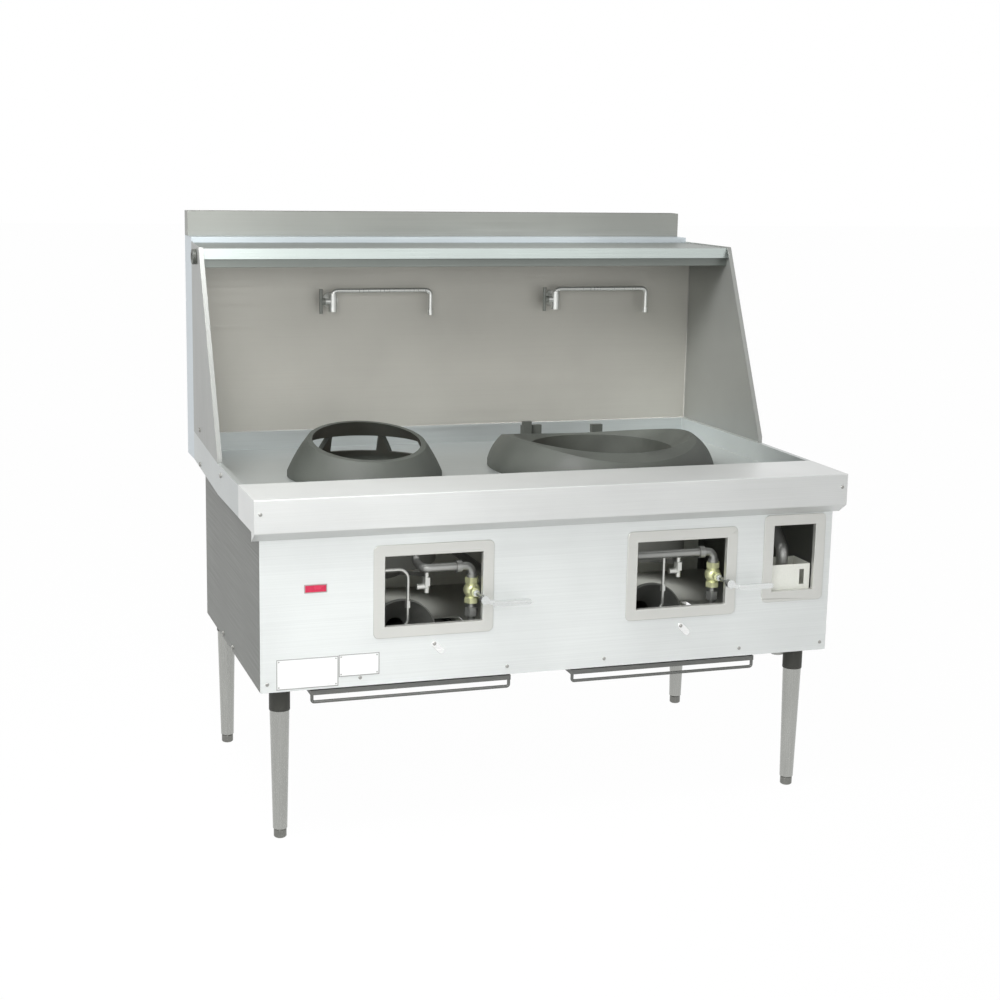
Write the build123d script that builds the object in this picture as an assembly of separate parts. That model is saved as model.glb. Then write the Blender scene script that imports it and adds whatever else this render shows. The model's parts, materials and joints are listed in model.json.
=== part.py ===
"""Two-hole gas wok range on four legs, with splash guards, a flue riser and two swing taps.

Working axes: X to the right along the front, Y towards the back from the front panel's face,
Z up from the floor, with X zero in the middle of the cabinet. At the end everything is moved
so that the origin is the bottom centre of the whole range. Sizes are in millimetres.
"""
from build123d import *

from math import cos, hypot, radians, sin, sqrt
import os

# Cabinet
CABINET_WIDTH = 1524.0
CABINET_DEPTH = 772.0
CABINET_BOTTOM = 396.0
SHEET = 2.0
FLANGE = 22.0
TUBE = 30.0
TUBE_WALL = 2.5
TUBE_LIFT = 8.0
FRAME_OVERHANG = 76.0

# Deck, front rail and side rims
DECK_TOP = 878.0
DECK_RECESS = 52.0
SIDE_OVERHANG = 19.0
RIM_WIDTH = 14.0
SKIRT_HEIGHT = 82.0
RAIL_OVERHANG = 37.0
RAIL_RETURN = 24.0
DECK_OVERHANG = 185.0
REAR_NARROWING = 23.0
PIPE_GAP = 32.0

# Windows in the front panel
WINDOW_INSET_LEFT = 433.0
WINDOW_INSET_RIGHT = 427.0
WINDOW_WIDTH = 254.0
WINDOW_HEIGHT = 180.0
WINDOW_BOTTOM = 539.0
SERVICE_INSET = 108.0
SERVICE_WIDTH = 124.0
SERVICE_BOTTOM = 563.0
TRIM_BORDER = 27.0
TRIM_THICKNESS = 3.0
TRIM_LIP = 12.0
TRIM_CORNER = 14.0

# Wok holes, rings and fire chambers
WOK_INSET_LEFT = 381.0
WOK_INSET_RIGHT = 466.0
WOK_SETBACK = 282.0
SMALL_FIRE_RADIUS = 150.0
LARGE_FIRE_RADIUS = 200.0
LINING_WALL = 39.0
LINING_GAP = 0.5
DRUM_WALL = 3.0
DRUM_BOTTOM = 600.0
DRUM_LIP = 28.0
DUCT_WIDTH = 200.0
DUCT_BOTTOM = 700.0
DUCT_HEIGHT = 88.0
RING_SEAT_GAP = 0.3
RING_WALL = 11.0
RING_SEAT = 6.0
RING_SKIRT_DEPTH = 12.0
RING_SKIRT_GAP = 3.0
SMALL_RING_RADIUS = 207.0
SMALL_RING_FOOT = 12.0
SMALL_RING_WAIST_RADIUS = 178.0
SMALL_RING_WAIST_HEIGHT = 68.5
SMALL_RING_CROWN_RADIUS = 132.0
SMALL_RING_CROWN_HEIGHT = 130.0
SMALL_RING_MIDDLE = 100.0
SMALL_RING_RAKE = 0.19
RING_WINDOW_WIDTH = 130.0
RING_WINDOW_HEIGHT = 47.0
RING_WINDOW_SILL = 34.0
RING_WINDOW_TURNS = (-56.0, -4.0, 48.0)
LARGE_RING_RADIUS = 316.0
LARGE_RING_FOOT = 14.0
LARGE_RING_WAIST_RADIUS = 292.0
LARGE_RING_WAIST_HEIGHT = 62.0
LARGE_RING_CROWN_RADIUS = 261.0
LARGE_RING_CROWN_HEIGHT = 90.0
LARGE_RING_LIP = 54.0
LARGE_RING_SADDLE = 1014.0
LARGE_RING_SADDLE_SHIFT = 45.0
LARGE_RING_RAIL_GAP = 7.0
LUG_RADIUS = 262.0
LUG_THICKNESS = 14.0
LUG_BOTTOM = 42.0
LUGS = ((-128.0, 60.0, 84.0), (-145.0, 26.0, 96.0), (82.0, 34.0, 76.0))

# Guards, backsplash, shelf and flue
GUARD_DEPTH_LOW = 528.0
GUARD_DEPTH_HIGH = 270.0
GUARD_STEP = 17.0
GUARD_RISE = 3.0
GUARD_HEM = 12.0
SHELF_DROP = 15.0
SHELF_DEPTH = 267.0
SHELF_FACE = 29.0
SHELF_SETBACK = 15.0
SHELF_LIP = 23.0
SHELF_RETURN = 26.0
FLUE_DEPTH = 115.0
FLUE_TOP = 1429.0
RISER_DEPTH = 50.0
RISER_HEIGHT = 70.0
PLENUM_WIDTH = 1280.0
PLENUM_BOTTOM = 690.0

# Water supply and taps
WATER_RADIUS = 13.0
WATER_BEND = 15.0
WATER_END = 30.0
WATER_REACH = 138.0
WATER_DROP = 28.0
INLET_RADIUS = 21.0
INLET_BORE = 10.5
INLET_REACH = 12.0
TAP_X_OFFSET = 12.0
TAP_DROP = 134.0
TAP_REACH = 40.0
TAP_BODY_RADIUS = 12.0
TAP_FLANGE_RADIUS = 22.0
TAP_FLANGE_THICKNESS = 6.0
TAP_TAIL = 30.0
TAP_BOSS_RADIUS = 9.0
TAP_BOSS_REACH = 22.0
TAP_BRANCH_RADIUS = 9.0
TAP_HOLE_RADIUS = 10.0
SPOUT_SEAT_RISE = 3.0
SPOUT_RADIUS = 6.0
SPOUT_SOCKET = 16.0
SPOUT_RISE = 15.0
SPOUT_LENGTH = 290.0
SPOUT_DROP = 72.0
SPOUT_BEND = 14.0
SPOUT_COLLAR_RADIUS = 11.0
SPOUT_COLLAR_HEIGHT = 8.0
SPOUT_TIP_RADIUS = 8.0
SPOUT_TIP_HEIGHT = 14.0
SPINDLE_RADIUS = 5.0
SPINDLE_DEPTH = 8.0
TAP_HUB_RADIUS = 10.0
TAP_HUB_WIDTH = 12.0
TAP_BAR_LENGTH = 70.0
TAP_BAR_RADIUS = 5.0

# Gas line, valves and pilots
GAS_Y = 60.0
GAS_Z = 668.0
GAS_RADIUS = 10.5
GAS_BEND = 18.0
GAS_MAIN_Y = 130.0
GAS_MAIN_Z = 745.0
GAS_RETURN_SHIFT = (-11.0, -177.0)
GAS_INLET_RADIUS = 13.35
GAS_INLET_X = -68.0
GAS_INLET_Z = 560.0
GAS_INLET_REACH = 34.0
GAS_THREAD_DEPTH = 0.35
GAS_COUPLING_RADIUS = 15.5
GAS_COUPLING_WIDTH = 14.0
GAS_COUPLING_OFFSET = 35.0
GAS_TEE_RADIUS = 17.35
GAS_TEE_WIDTH = 56.0
GAS_UNION_RADIUS = 13.5
GAS_UNION_HEIGHT = 8.0
GAS_BRACKET_X = (-140.0, 60.0)
GAS_BRACKET_WIDTH = 24.0
VALVE_OFFSET = 116.0
VALVE_Z = 606.0
VALVE_HEIGHT = 66.0
VALVE_BALL_RADIUS = 21.0
VALVE_BARREL_RADIUS = 14.0
VALVE_NUT_ACROSS = 32.0
VALVE_NUT_HEIGHT = 14.0
VALVE_BOSS_RADIUS = 11.0
VALVE_BOSS_REACH = 34.0
STEM_RADIUS = 5.0
STEM_DEPTH = 12.0
STEM_COLLAR_RADIUS = 8.0
STEM_COLLAR_WIDTH = 8.0
LEVER_Y = -45.0
LEVER_HUB_RADIUS = 11.0
LEVER_HUB_WIDTH = 16.0
LEVER_NECK = 26.0
LEVER_LENGTH = 118.0
LEVER_HEIGHT = 14.0
LEVER_THICKNESS = 5.0
LEVER_DROP = 11.0
SUPPLY_RADIUS = 9.0
SUPPLY_BEND = 20.0
SUPPLY_UNION_ACROSS = 30.0
SUPPLY_UNION_HEIGHT = 22.0
SUPPLY_REACH = 14.0
SUPPLY_JET_RADIUS = 6.0
SUPPLY_JET_LENGTH = 12.0
PILOT_VALVE_SHIFT = (-2.0, 16.0)
PILOT_NECK_LENGTH = 12.0
PILOT_NUT_HEIGHT = 22.0
PILOT_NOSE_LENGTH = 18.0
PILOT_KNOB_DROP = 2.0
PILOT_NUT_ACROSS = 20.0
PILOT_NECK_RADIUS = 6.0
PILOT_NOSE_RADIUS = 7.0
PILOT_KNOB_RADIUS = 8.0
PILOT_KNOB_REACH = 26.0
PILOT_TUBE_RADIUS = 4.0
PILOT_TUBE_BEND = 24.0
PILOT_UNION_ACROSS = 13.0
PILOT_UNION_HEIGHT = 18.0
PILOT_UNION_DROP = 80.0
PILOT_TUBE_SHIFT = (-50.0, -25.0)
PILOT_TUBE_Z = 517.0
PILOT_TUBE_LOOP = 120.0
PILOT_TIP = (-109.0, -90.0, 612.0)

# Burners
BURNER_RADIUS = 100.0
BURNER_TOP = 585.0
BURNER_THICKNESS = 25.0
BURNER_ARM_HALF = 9.0
BURNER_ARM_HEIGHT = 12.0
JET_RADIUS = 6.0
JET_HEIGHT = 30.0
JET_RINGS = ((38.0, 6), (78.0, 12))
VENTURI_Z = 490.0
VENTURI_RADIUS = 28.0
VENTURI_WALL = 4.0
BELL_RADIUS = 90.0
BELL_FRONT = 105.0
BELL_DEPTH = 70.0
BELL_RIM = 8.0

# Legs and feet
LEG_INSET = 60.0
LEG_FRONT_Y = 66.0
LEG_OVERHANG = 41.0
SOCKET_RADIUS = 26.0
SOCKET_BOTTOM = 332.0
LEG_RADIUS = 24.4
LEG_TAPER_RADIUS = 18.0
LEG_WALL = 2.0
LEG_PLUG = 40.0
LEG_CAP = 6.0
FOOT_RADIUS = 16.0
FOOT_HEIGHT = 24.0
FOOT_EASE = 3.0
FOOT_SCREW_RADIUS = 8.0
FOOT_SCREW_LENGTH = 60.0

# Drip trays
TRAY_SPACING = 163.0
TRAY_REAR_GAP = 135.0
DRIP_HOLE_SETBACK = 217.0
TRAY_HEIGHT = 12.0
TRAY_FLANGE = 8.0
TRAY_SETBACK = 3.0
TRAY_PULL_DROP = 22.0
TRAY_PULL_RADIUS = 4.0
RUNNER_DEPTH = 14.0
RUNNER_START = 27.0
RUNNER_TOP_FLANGE = 16.0

# Lighting-hole covers
COVER_OFFSET = 11.0
COVER_Z = 481.0
COVER_LENGTH = 42.0
COVER_WIDTH = 16.0
COVER_TILT = -45.0
LIGHTING_HOLE_RADIUS = 6.0
RIVET_RADIUS = 3.0

# Plates on the front panel: inset from the panel's left end, bottom edge, width, height
BADGE = (108.0, 638.0, 56.0, 21.0)
LABEL = (39.0, 401.0, 153.0, 76.0)
DATA_PLATE = (193.0, 423.0, 102.0, 56.0)
PLATE_THICKNESS = 1.0

# Drain
DRAIN_BOX_WIDTH = 120.0
DRAIN_BOX_DROP = 20.0
DRAIN_BOX_SHIFT = -4.0
DRAIN_BOX_DEPTH = 90.0
DRAIN_SLOT_WIDTH = 14.0
DRAIN_BOX_TOP = 632.0
DRAIN_PIPE_RADIUS = 16.0
DRAIN_OUTLET_REACH = 20.0
DRAIN_BEND = 22.0
DRAIN_BEND_HIGH = 80.0
DRAIN_BEND_LOW = 30.0
DRAIN_DIP = 12.0
DRAIN_INSET = 62.0
DRAIN_RAIL_GAP = 58.0

# Screws and bolts: insets from the panel's ends; place on Y and height of each side bolt
FACE_SCREW_RADIUS = 4.5
FACE_SCREW_HEAD = 2.0
FACE_SCREW_Z = 417.0
FACE_SCREWS_LEFT = (17.0, 247.0, 627.0)
FACE_SCREWS_RIGHT = (17.0, 254.0, 635.0)
RAIL_SCREW_INSET = 15.0
RAIL_SCREW_DROP = 34.0
SIDE_BOLT_RADIUS = 6.0
SIDE_BOLT_HEAD = 4.5
FRONT_BOLTS = ((370.0, 408.0), (510.0, 408.0), (410.0, 856.0))
REAR_BOLT_OVERHANG = 66.0
REAR_BOLT_HEIGHTS = (906.0, 808.0)

# Fits
RUNNING_FIT = 0.05
CLEARANCE = 0.3

# Worked out from the sizes above
HALF = CABINET_WIDTH / 2
TOP_HALF = HALF + SIDE_OVERHANG
REAR_HALF = TOP_HALF - REAR_NARROWING
DECK_BACK = CABINET_DEPTH + DECK_OVERHANG
FLUE_FRONT = DECK_BACK + PIPE_GAP
FLUE_BACK = FLUE_FRONT + FLUE_DEPTH
RISER_FRONT = FLUE_BACK - RISER_DEPTH
RISER_TOP = FLUE_TOP + RISER_HEIGHT
SHELF_TOP = FLUE_TOP - SHELF_DROP
GUARD_TOP = SHELF_TOP + GUARD_RISE
WATER_Z = SHELF_TOP - WATER_DROP
TAP_Z = WATER_Z - TAP_DROP
GUARD_FRONT_LOW = FLUE_FRONT - GUARD_DEPTH_LOW
GUARD_FRONT_HIGH = FLUE_FRONT - GUARD_DEPTH_HIGH
SHELF_FRONT = FLUE_FRONT - SHELF_DEPTH
FRAME_DEPTH = CABINET_DEPTH + FRAME_OVERHANG
LEG_REAR_Y = CABINET_DEPTH + LEG_OVERHANG
WINDOW_X = (WINDOW_INSET_LEFT - HALF, HALF - WINDOW_INSET_RIGHT)
WOK_X = (WOK_INSET_LEFT - HALF, HALF - WOK_INSET_RIGHT)
WOK_Y = CABINET_DEPTH - WOK_SETBACK
RAIL_BACK = WOK_Y - LARGE_RING_RADIUS - LARGE_RING_RAIL_GAP
FIRE_RADIUS = (SMALL_FIRE_RADIUS, LARGE_FIRE_RADIUS)
WATER_Y = DECK_BACK - WATER_REACH
SERVICE_X = HALF - SERVICE_INSET
DRAIN_X = HALF - DRAIN_INSET
DRAIN_Y = RAIL_BACK + DRAIN_RAIL_GAP
DECK_FLOOR = DECK_TOP - DECK_RECESS
SKIRT_BOTTOM = DECK_TOP - SKIRT_HEIGHT
PANEL_TOP = DECK_FLOOR - SHEET
RAIL_FRONT = -RAIL_OVERHANG
DRUM_RADIUS = tuple(radius + LINING_WALL + LINING_GAP + DRUM_WALL for radius in FIRE_RADIUS)
FRAME_BOTTOM = CABINET_BOTTOM + TUBE_LIFT
LEG_X = HALF - LEG_INSET
VALVE_X = tuple(x + VALVE_OFFSET for x in WINDOW_X)
GAS_RETURN_X = tuple(x + shift for x, shift in zip(WINDOW_X, GAS_RETURN_SHIFT))
PILOT_VALVE_X = tuple(x + shift for x, shift in zip(WINDOW_X, PILOT_VALVE_SHIFT))
PILOT_TUBE_X = tuple(x + shift for x, shift in zip(WINDOW_X, PILOT_TUBE_SHIFT))
TRAY_WIDTH = WOK_X[1] - WOK_X[0] - TRAY_SPACING
TRAY_DEPTH = CABINET_DEPTH - TRAY_REAR_GAP
DRIP_HOLE_BACK = TRAY_DEPTH - DRIP_HOLE_SETBACK
TAP_Y = DECK_BACK - SHEET - TAP_REACH
SPOUT_SEAT = TAP_Z + TAP_BODY_RADIUS + SPOUT_SEAT_RISE
TAP_X = tuple(x + TAP_X_OFFSET for x in WOK_X)
RING_BASE = DECK_FLOOR + RING_SEAT_GAP
SIDES = ("left", "right")
CORNERS = {
    "front_left": (-LEG_X, LEG_FRONT_Y),
    "front_right": (LEG_X, LEG_FRONT_Y),
    "rear_left": (-LEG_X, LEG_REAR_Y),
    "rear_right": (LEG_X, LEG_REAR_Y),
}


def block(x, y, z):
    """A box between two places on each axis."""
    size = [abs(b - a) for a, b in (x, y, z)]
    middle = [(a + b) / 2 for a, b in (x, y, z)]
    return Pos(*middle) * Box(*size)


def round_x(x, y, z, radius):
    """A rod along X between two places, at y and z."""
    return Pos((x[0] + x[1]) / 2, y, z) * Rot(0, 90, 0) * Cylinder(radius, abs(x[1] - x[0]))


def round_y(x, y, z, radius):
    """A rod along Y between two places, at x and z."""
    return Pos(x, (y[0] + y[1]) / 2, z) * Rot(90, 0, 0) * Cylinder(radius, abs(y[1] - y[0]))


def round_z(x, y, z, radius):
    """A rod along Z between two places, at x and y."""
    return Pos(x, y, (z[0] + z[1]) / 2) * Cylinder(radius, abs(z[1] - z[0]))


def nut_z(x, y, z, across):
    """A hexagon nut along Z."""
    hexagon = Plane.XY.offset(z[0]) * Pos(x, y) * RegularPolygon(across / 2, 6, major_radius=False)
    return extrude(hexagon, amount=z[1] - z[0])


def side_plate(outline, x):
    """A flat plate cut to an outline of (y, z) points, between two places on X."""
    face = Plane.YZ.offset(x[0]) * make_face(Polyline(*outline, close=True))
    return extrude(face, amount=x[1] - x[0], dir=(1, 0, 0))


def beside(line, gap):
    """The line's points moved sideways by gap to its left, with mitred corners."""
    normals = []
    for (a, b), (c, d) in zip(line, line[1:]):
        length = hypot(c - a, d - b)
        normals.append(((b - d) / length, (c - a) / length))
    moved = []
    for i, (a, b) in enumerate(line):
        before = normals[max(i - 1, 0)]
        after = normals[min(i, len(normals) - 1)]
        scale = gap / (1 + before[0] * after[0] + before[1] * after[1])
        moved.append((a + (before[0] + after[0]) * scale, b + (before[1] + after[1]) * scale))
    return moved


def folded_sheet(line, x, thickness=SHEET):
    """Sheet folded along a (y, z) line and running along X; its metal is to the line's left."""
    return side_plate(line + beside(line, thickness)[::-1], x)


def bent_pipe(points, radius, bend):
    """A round pipe through the points, with every corner rounded."""
    path = FilletPolyline(*points, radius=bend)
    return sweep(Plane(path @ 0, z_dir=path % 0) * Circle(radius), path=path)


def turned(profile, x, y, z=0.0):
    """A profile of (radius, height) points turned about an upright axis at x and y."""
    face = Plane.XZ * make_face(Polyline(*profile, close=True))
    return Pos(x, y, z) * revolve(face, axis=Axis.Z)


def hollow_box(x, y, z, wall=SHEET):
    """A closed sheet box."""
    inside = [(a + wall, b - wall) for a, b in (x, y, z)]
    return block(x, y, z) - block(*inside)


# ---- Cabinet -------------------------------------------------------------------------------


def lighting_hole(side):
    """Place of the lower end of a lighting-hole cover, where the hole is."""
    reach = (COVER_LENGTH - COVER_WIDTH) / 2
    x = WINDOW_X[side] + COVER_OFFSET
    return (x + reach * cos(radians(COVER_TILT)), COVER_Z + reach * sin(radians(COVER_TILT)))


def cover_pivot(side):
    """Place of the rivet at the upper end of a lighting-hole cover."""
    reach = (COVER_LENGTH - COVER_WIDTH) / 2
    x = WINDOW_X[side] + COVER_OFFSET
    return (x - reach * cos(radians(COVER_TILT)), COVER_Z - reach * sin(radians(COVER_TILT)))


def gas_bracket(x):
    """Folded bracket welded inside the front panel, with a hole for the main gas pipe."""
    reach = GAS_MAIN_Y + GAS_BRACKET_WIDTH
    height = (GAS_MAIN_Z - GAS_BRACKET_WIDTH, GAS_MAIN_Z + GAS_BRACKET_WIDTH)
    bracket = block((x, x + SHEET), (0, reach), height)
    bracket += block((x, x + GAS_BRACKET_WIDTH), (SHEET, 2 * SHEET), height)
    return bracket - round_x((x - 1, x + SHEET + 1), GAS_MAIN_Y, GAS_MAIN_Z, GAS_RADIUS + CLEARANCE)


def front_panel():
    """Folded front sheet with two burner windows, a service window and two lighting holes."""
    panel = block((-HALF, HALF), (0, SHEET), (CABINET_BOTTOM, PANEL_TOP))
    panel += block((-HALF + SHEET, HALF - SHEET), (0, FLANGE),
                   (CABINET_BOTTOM, CABINET_BOTTOM + SHEET))
    for x in GAS_BRACKET_X:
        panel += gas_bracket(x)
    through = (-1, SHEET + 1)
    for side in (0, 1):
        x = WINDOW_X[side]
        panel -= block((x - WINDOW_WIDTH / 2, x + WINDOW_WIDTH / 2), through,
                       (WINDOW_BOTTOM, WINDOW_BOTTOM + WINDOW_HEIGHT))
        hole_x, hole_z = lighting_hole(side)
        pivot_x, pivot_z = cover_pivot(side)
        panel -= round_y(hole_x, through, hole_z, LIGHTING_HOLE_RADIUS)
        panel -= round_y(pivot_x, through, pivot_z, RIVET_RADIUS)
    panel -= block((SERVICE_X - SERVICE_WIDTH / 2, SERVICE_X + SERVICE_WIDTH / 2), through,
                   (SERVICE_BOTTOM, SERVICE_BOTTOM + WINDOW_HEIGHT))
    return panel


def window_trim(x, bottom, width):
    """Raised trim round a window, with a lip turned in through the opening."""
    top = bottom + WINDOW_HEIGHT
    border = RectangleRounded(width + 2 * TRIM_BORDER, WINDOW_HEIGHT + 2 * TRIM_BORDER, TRIM_CORNER)
    place = Plane.XZ * Pos(x, (bottom + top) / 2)
    plate = extrude(place * border, amount=TRIM_THICKNESS, dir=(0, -1, 0))
    lip = block((x - width / 2, x + width / 2), (-TRIM_THICKNESS, TRIM_LIP), (bottom, top))
    opening = block((x - width / 2 + SHEET, x + width / 2 - SHEET),
                    (-TRIM_THICKNESS - 1, TRIM_LIP + 1), (bottom + SHEET, top - SHEET))
    return plate + lip - opening


def side_panel(sign):
    """Cabinet side with flanges turned in along its bottom and rear edges."""
    sheet = block((HALF - SHEET, HALF), (SHEET, CABINET_DEPTH), (CABINET_BOTTOM, PANEL_TOP))
    sheet += block((HALF - FLANGE, HALF), (FLANGE, CABINET_DEPTH),
                   (CABINET_BOTTOM, CABINET_BOTTOM + SHEET))
    sheet += block((HALF - FLANGE, HALF), (CABINET_DEPTH - SHEET, CABINET_DEPTH),
                   (CABINET_BOTTOM, PLENUM_BOTTOM - SHEET))
    return sheet if sign > 0 else mirror(sheet, about=Plane.YZ)


def rear_panel():
    """Flat sheet that closes the back above the frame, with a hole for the gas inlet pipe."""
    panel = block((-HALF + FLANGE, HALF - FLANGE), (CABINET_DEPTH - SHEET, CABINET_DEPTH),
                  (FRAME_BOTTOM + TUBE, PLENUM_BOTTOM - SHEET))
    hole = round_y(GAS_INLET_X, (CABINET_DEPTH - SHEET - 1, CABINET_DEPTH + 1), GAS_INLET_Z,
                   GAS_INLET_RADIUS)
    return panel - hole


def bottom_panel():
    """Sheet over the frame's rails, open above the front of each drip tray, drilled for the drain."""
    level = FRAME_BOTTOM + TUBE
    front = SHEET + TUBE
    panel = block((-HALF + SHEET, HALF - SHEET), (front, CABINET_DEPTH - SHEET),
                  (level, level + SHEET))
    through = (level - 1, level + SHEET + 1)
    for x in WOK_X:
        half = TRAY_WIDTH / 2 - TRAY_FLANGE
        panel -= block((x - half, x + half), (front + TRAY_FLANGE, DRIP_HOLE_BACK), through)
    return panel - round_z(SERVICE_X + DRAIN_BOX_SHIFT, TRIM_LIP + DRAIN_BOX_DEPTH / 2, through,
                           DRAIN_PIPE_RADIUS + CLEARANCE)


def square_tube(x, y, z):
    """Square tube between two places on each axis, open along its longest side."""
    spans = [x, y, z]
    lengths = [b - a for a, b in spans]
    run = lengths.index(max(lengths))
    bore = [(a - 1, b + 1) if axis == run else (a + TUBE_WALL, b - TUBE_WALL)
            for axis, (a, b) in enumerate(spans)]
    return block(*spans) - block(*bore)


def frame_tubes():
    """Square tubes of the stand: side and cross rails, front posts and flue supports."""
    half = TUBE / 2
    low = (FRAME_BOTTOM, FRAME_BOTTOM + TUBE)
    front = (SHEET, SHEET + TUBE)
    corner = HALF - SHEET - half
    tubes = [square_tube((-corner - half, corner + half), front, low)]
    for sign in (-1, 1):
        side = (sign * LEG_X - half, sign * LEG_X + half)
        post = (sign * corner - half, sign * corner + half)
        tubes.append(square_tube(post, front, (low[1], PANEL_TOP)))
        tubes.append(square_tube(side, (front[1], FRAME_DEPTH), low))
        tubes.append(square_tube(side, (LEG_REAR_Y - half, LEG_REAR_Y + half),
                                 (low[1], SKIRT_BOTTOM)))
    inner = (-LEG_X + half, LEG_X - half)
    for y in (RUNNER_START + TRAY_DEPTH, LEG_REAR_Y):
        tubes.append(square_tube(inner, (y - half, y + half), low))
    return Compound(tubes)


# ---- Top: deck, rail, guards, flue ---------------------------------------------------------


def deck_edge(inset, width, z):
    """Strip along both sides of the deck, which draws in behind the guards' feet."""
    line = [(TOP_HALF, RAIL_BACK), (TOP_HALF, GUARD_FRONT_LOW), (REAR_HALF, FLUE_FRONT)]
    plan = [(x - inset, y) for x, y in line] + [(x - inset - width, y) for x, y in reversed(line)]
    face = Plane.XY.offset(z[0]) * make_face(Polyline(*plan, close=True))
    strip = extrude(face, amount=z[1] - z[0], dir=(0, 0, 1))
    return strip + mirror(strip, about=Plane.YZ)


def deck_floor(inset, back):
    """Flat sheet between the deck's sides, inset from them, back to a place on Y."""
    half = side_half(back, DECK_TOP)
    corners = [(x - inset, y) for x, y in
               ((TOP_HALF, RAIL_BACK), (TOP_HALF, GUARD_FRONT_LOW), (half, back))]
    plan = corners + [(-x, y) for x, y in reversed(corners)]
    face = Plane.XY.offset(DECK_FLOOR - SHEET) * make_face(Polyline(*plan, close=True))
    return extrude(face, amount=SHEET, dir=(0, 0, 1))


def top_deck():
    """Recessed deck pan with raised rims, outer skirts and the two wok holes."""
    low, high = DECK_FLOOR - SHEET, DECK_TOP - SHEET
    back = DECK_BACK - RIM_WIDTH
    floor = deck_floor(RIM_WIDTH - SHEET / 2, back)
    for side in (0, 1):
        floor -= round_z(WOK_X[side], WOK_Y, (low - 1, DECK_FLOOR + 1), DRUM_RADIUS[side] - DRUM_WALL)
    floor -= round_z(DRAIN_X, DRAIN_Y, (low - 1, DECK_FLOOR + 1), DRAIN_PIPE_RADIUS)
    deck = deck_edge(0, SHEET, (SKIRT_BOTTOM, DECK_TOP)) + deck_edge(0, RIM_WIDTH, (high, DECK_TOP))
    deck += deck_edge(RIM_WIDTH - SHEET, SHEET, (low, DECK_TOP))
    half = REAR_HALF - RIM_WIDTH / 2
    curb = block((-half, half), (back, DECK_BACK), (high, DECK_TOP))
    curb += block((-half, half), (back, back + SHEET), (low, DECK_TOP))
    return deck + floor + curb


def front_rail():
    """Hollow box ledge along the front, with a sloping lower return to the panel."""
    line = [(0, SKIRT_BOTTOM - RAIL_RETURN), (RAIL_FRONT, SKIRT_BOTTOM), (RAIL_FRONT, DECK_TOP),
            (RAIL_BACK, DECK_TOP), (RAIL_BACK, DECK_FLOOR - SHEET)]
    rail = folded_sheet(line, (-TOP_HALF, TOP_HALF), -SHEET)
    rail -= block((-HALF, HALF), (0, RAIL_OVERHANG), (SKIRT_BOTTOM - 2 * RAIL_RETURN, SKIRT_BOTTOM))
    end = [(0, SKIRT_BOTTOM - RAIL_RETURN), (RAIL_FRONT, SKIRT_BOTTOM), (RAIL_FRONT, DECK_TOP),
           (RAIL_BACK, DECK_TOP), (RAIL_BACK, SKIRT_BOTTOM), (0, SKIRT_BOTTOM)]
    for x in ((-TOP_HALF, -TOP_HALF + SHEET), (TOP_HALF - SHEET, TOP_HALF)):
        rail += side_plate(end, x)
    return rail


def guard_front(z):
    """Place of a guard's raked front edge at a height."""
    low = DECK_TOP + GUARD_STEP
    rise = min(max((z - low) / (GUARD_TOP - low), 0.0), 1.0)
    return GUARD_FRONT_LOW + rise * (GUARD_FRONT_HIGH - GUARD_FRONT_LOW)


def side_half(y, z):
    """Half width over the guards, which draw in from their front edges to the flue."""
    front = guard_front(z)
    return TOP_HALF - REAR_NARROWING * max(y - front, 0.0) / (FLUE_FRONT - front)


def guard_sheet(thickness):
    """Body of the right guard, from its front edge to the flue, in two ruled bands."""
    sheet = None
    for low, high in ((DECK_TOP, DECK_TOP + GUARD_STEP), (DECK_TOP + GUARD_STEP, GUARD_TOP)):
        ends = []
        for half, y in ((TOP_HALF, (guard_front(low), guard_front(high))),
                        (REAR_HALF, (FLUE_FRONT, FLUE_FRONT))):
            ends.append(make_face(Polyline((half, y[0], low), (half, y[1], high),
                                           (half - thickness, y[1], high),
                                           (half - thickness, y[0], low), close=True)))
        band = loft(ends, ruled=True)
        sheet = band if sheet is None else sheet + band
    return sheet


def outside_guards():
    """Space outside the guards' inner faces, which trims whatever is fitted between them."""
    reach = 2 * REAR_NARROWING
    right = Pos(reach, 0, 0) * guard_sheet(reach + SHEET)
    return right + mirror(right, about=Plane.YZ)


def guard(sign):
    """Side splash guard: a sheet with a raked front edge and a hem turned in along it."""
    raked = [(GUARD_FRONT_LOW, DECK_TOP), (GUARD_FRONT_LOW, DECK_TOP + GUARD_STEP),
             (GUARD_FRONT_HIGH, GUARD_TOP)]
    plate = guard_sheet(SHEET) + folded_sheet(raked, (TOP_HALF - GUARD_HEM, TOP_HALF), -SHEET)
    return plate if sign > 0 else mirror(plate, about=Plane.YZ)


def guard_with_inlet():
    """The left guard, cut for the water inlet."""
    half = side_half(WATER_Y, WATER_Z)
    return guard(-1) - round_x((-half - SHEET, SHEET - half + SHEET), WATER_Y, WATER_Z, WATER_RADIUS)


def backsplash_panel():
    """Back wall between the guards, standing on the deck's rear rim, with two tap holes."""
    panel = block((-TOP_HALF, TOP_HALF), (DECK_BACK - SHEET, DECK_BACK),
                  (DECK_TOP, WATER_Z - WATER_RADIUS - 1))
    panel -= outside_guards()
    for x in TAP_X:
        panel -= round_y(x, (DECK_BACK - SHEET - 1, DECK_BACK + 1), TAP_Z, TAP_HOLE_RADIUS)
    return panel


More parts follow.
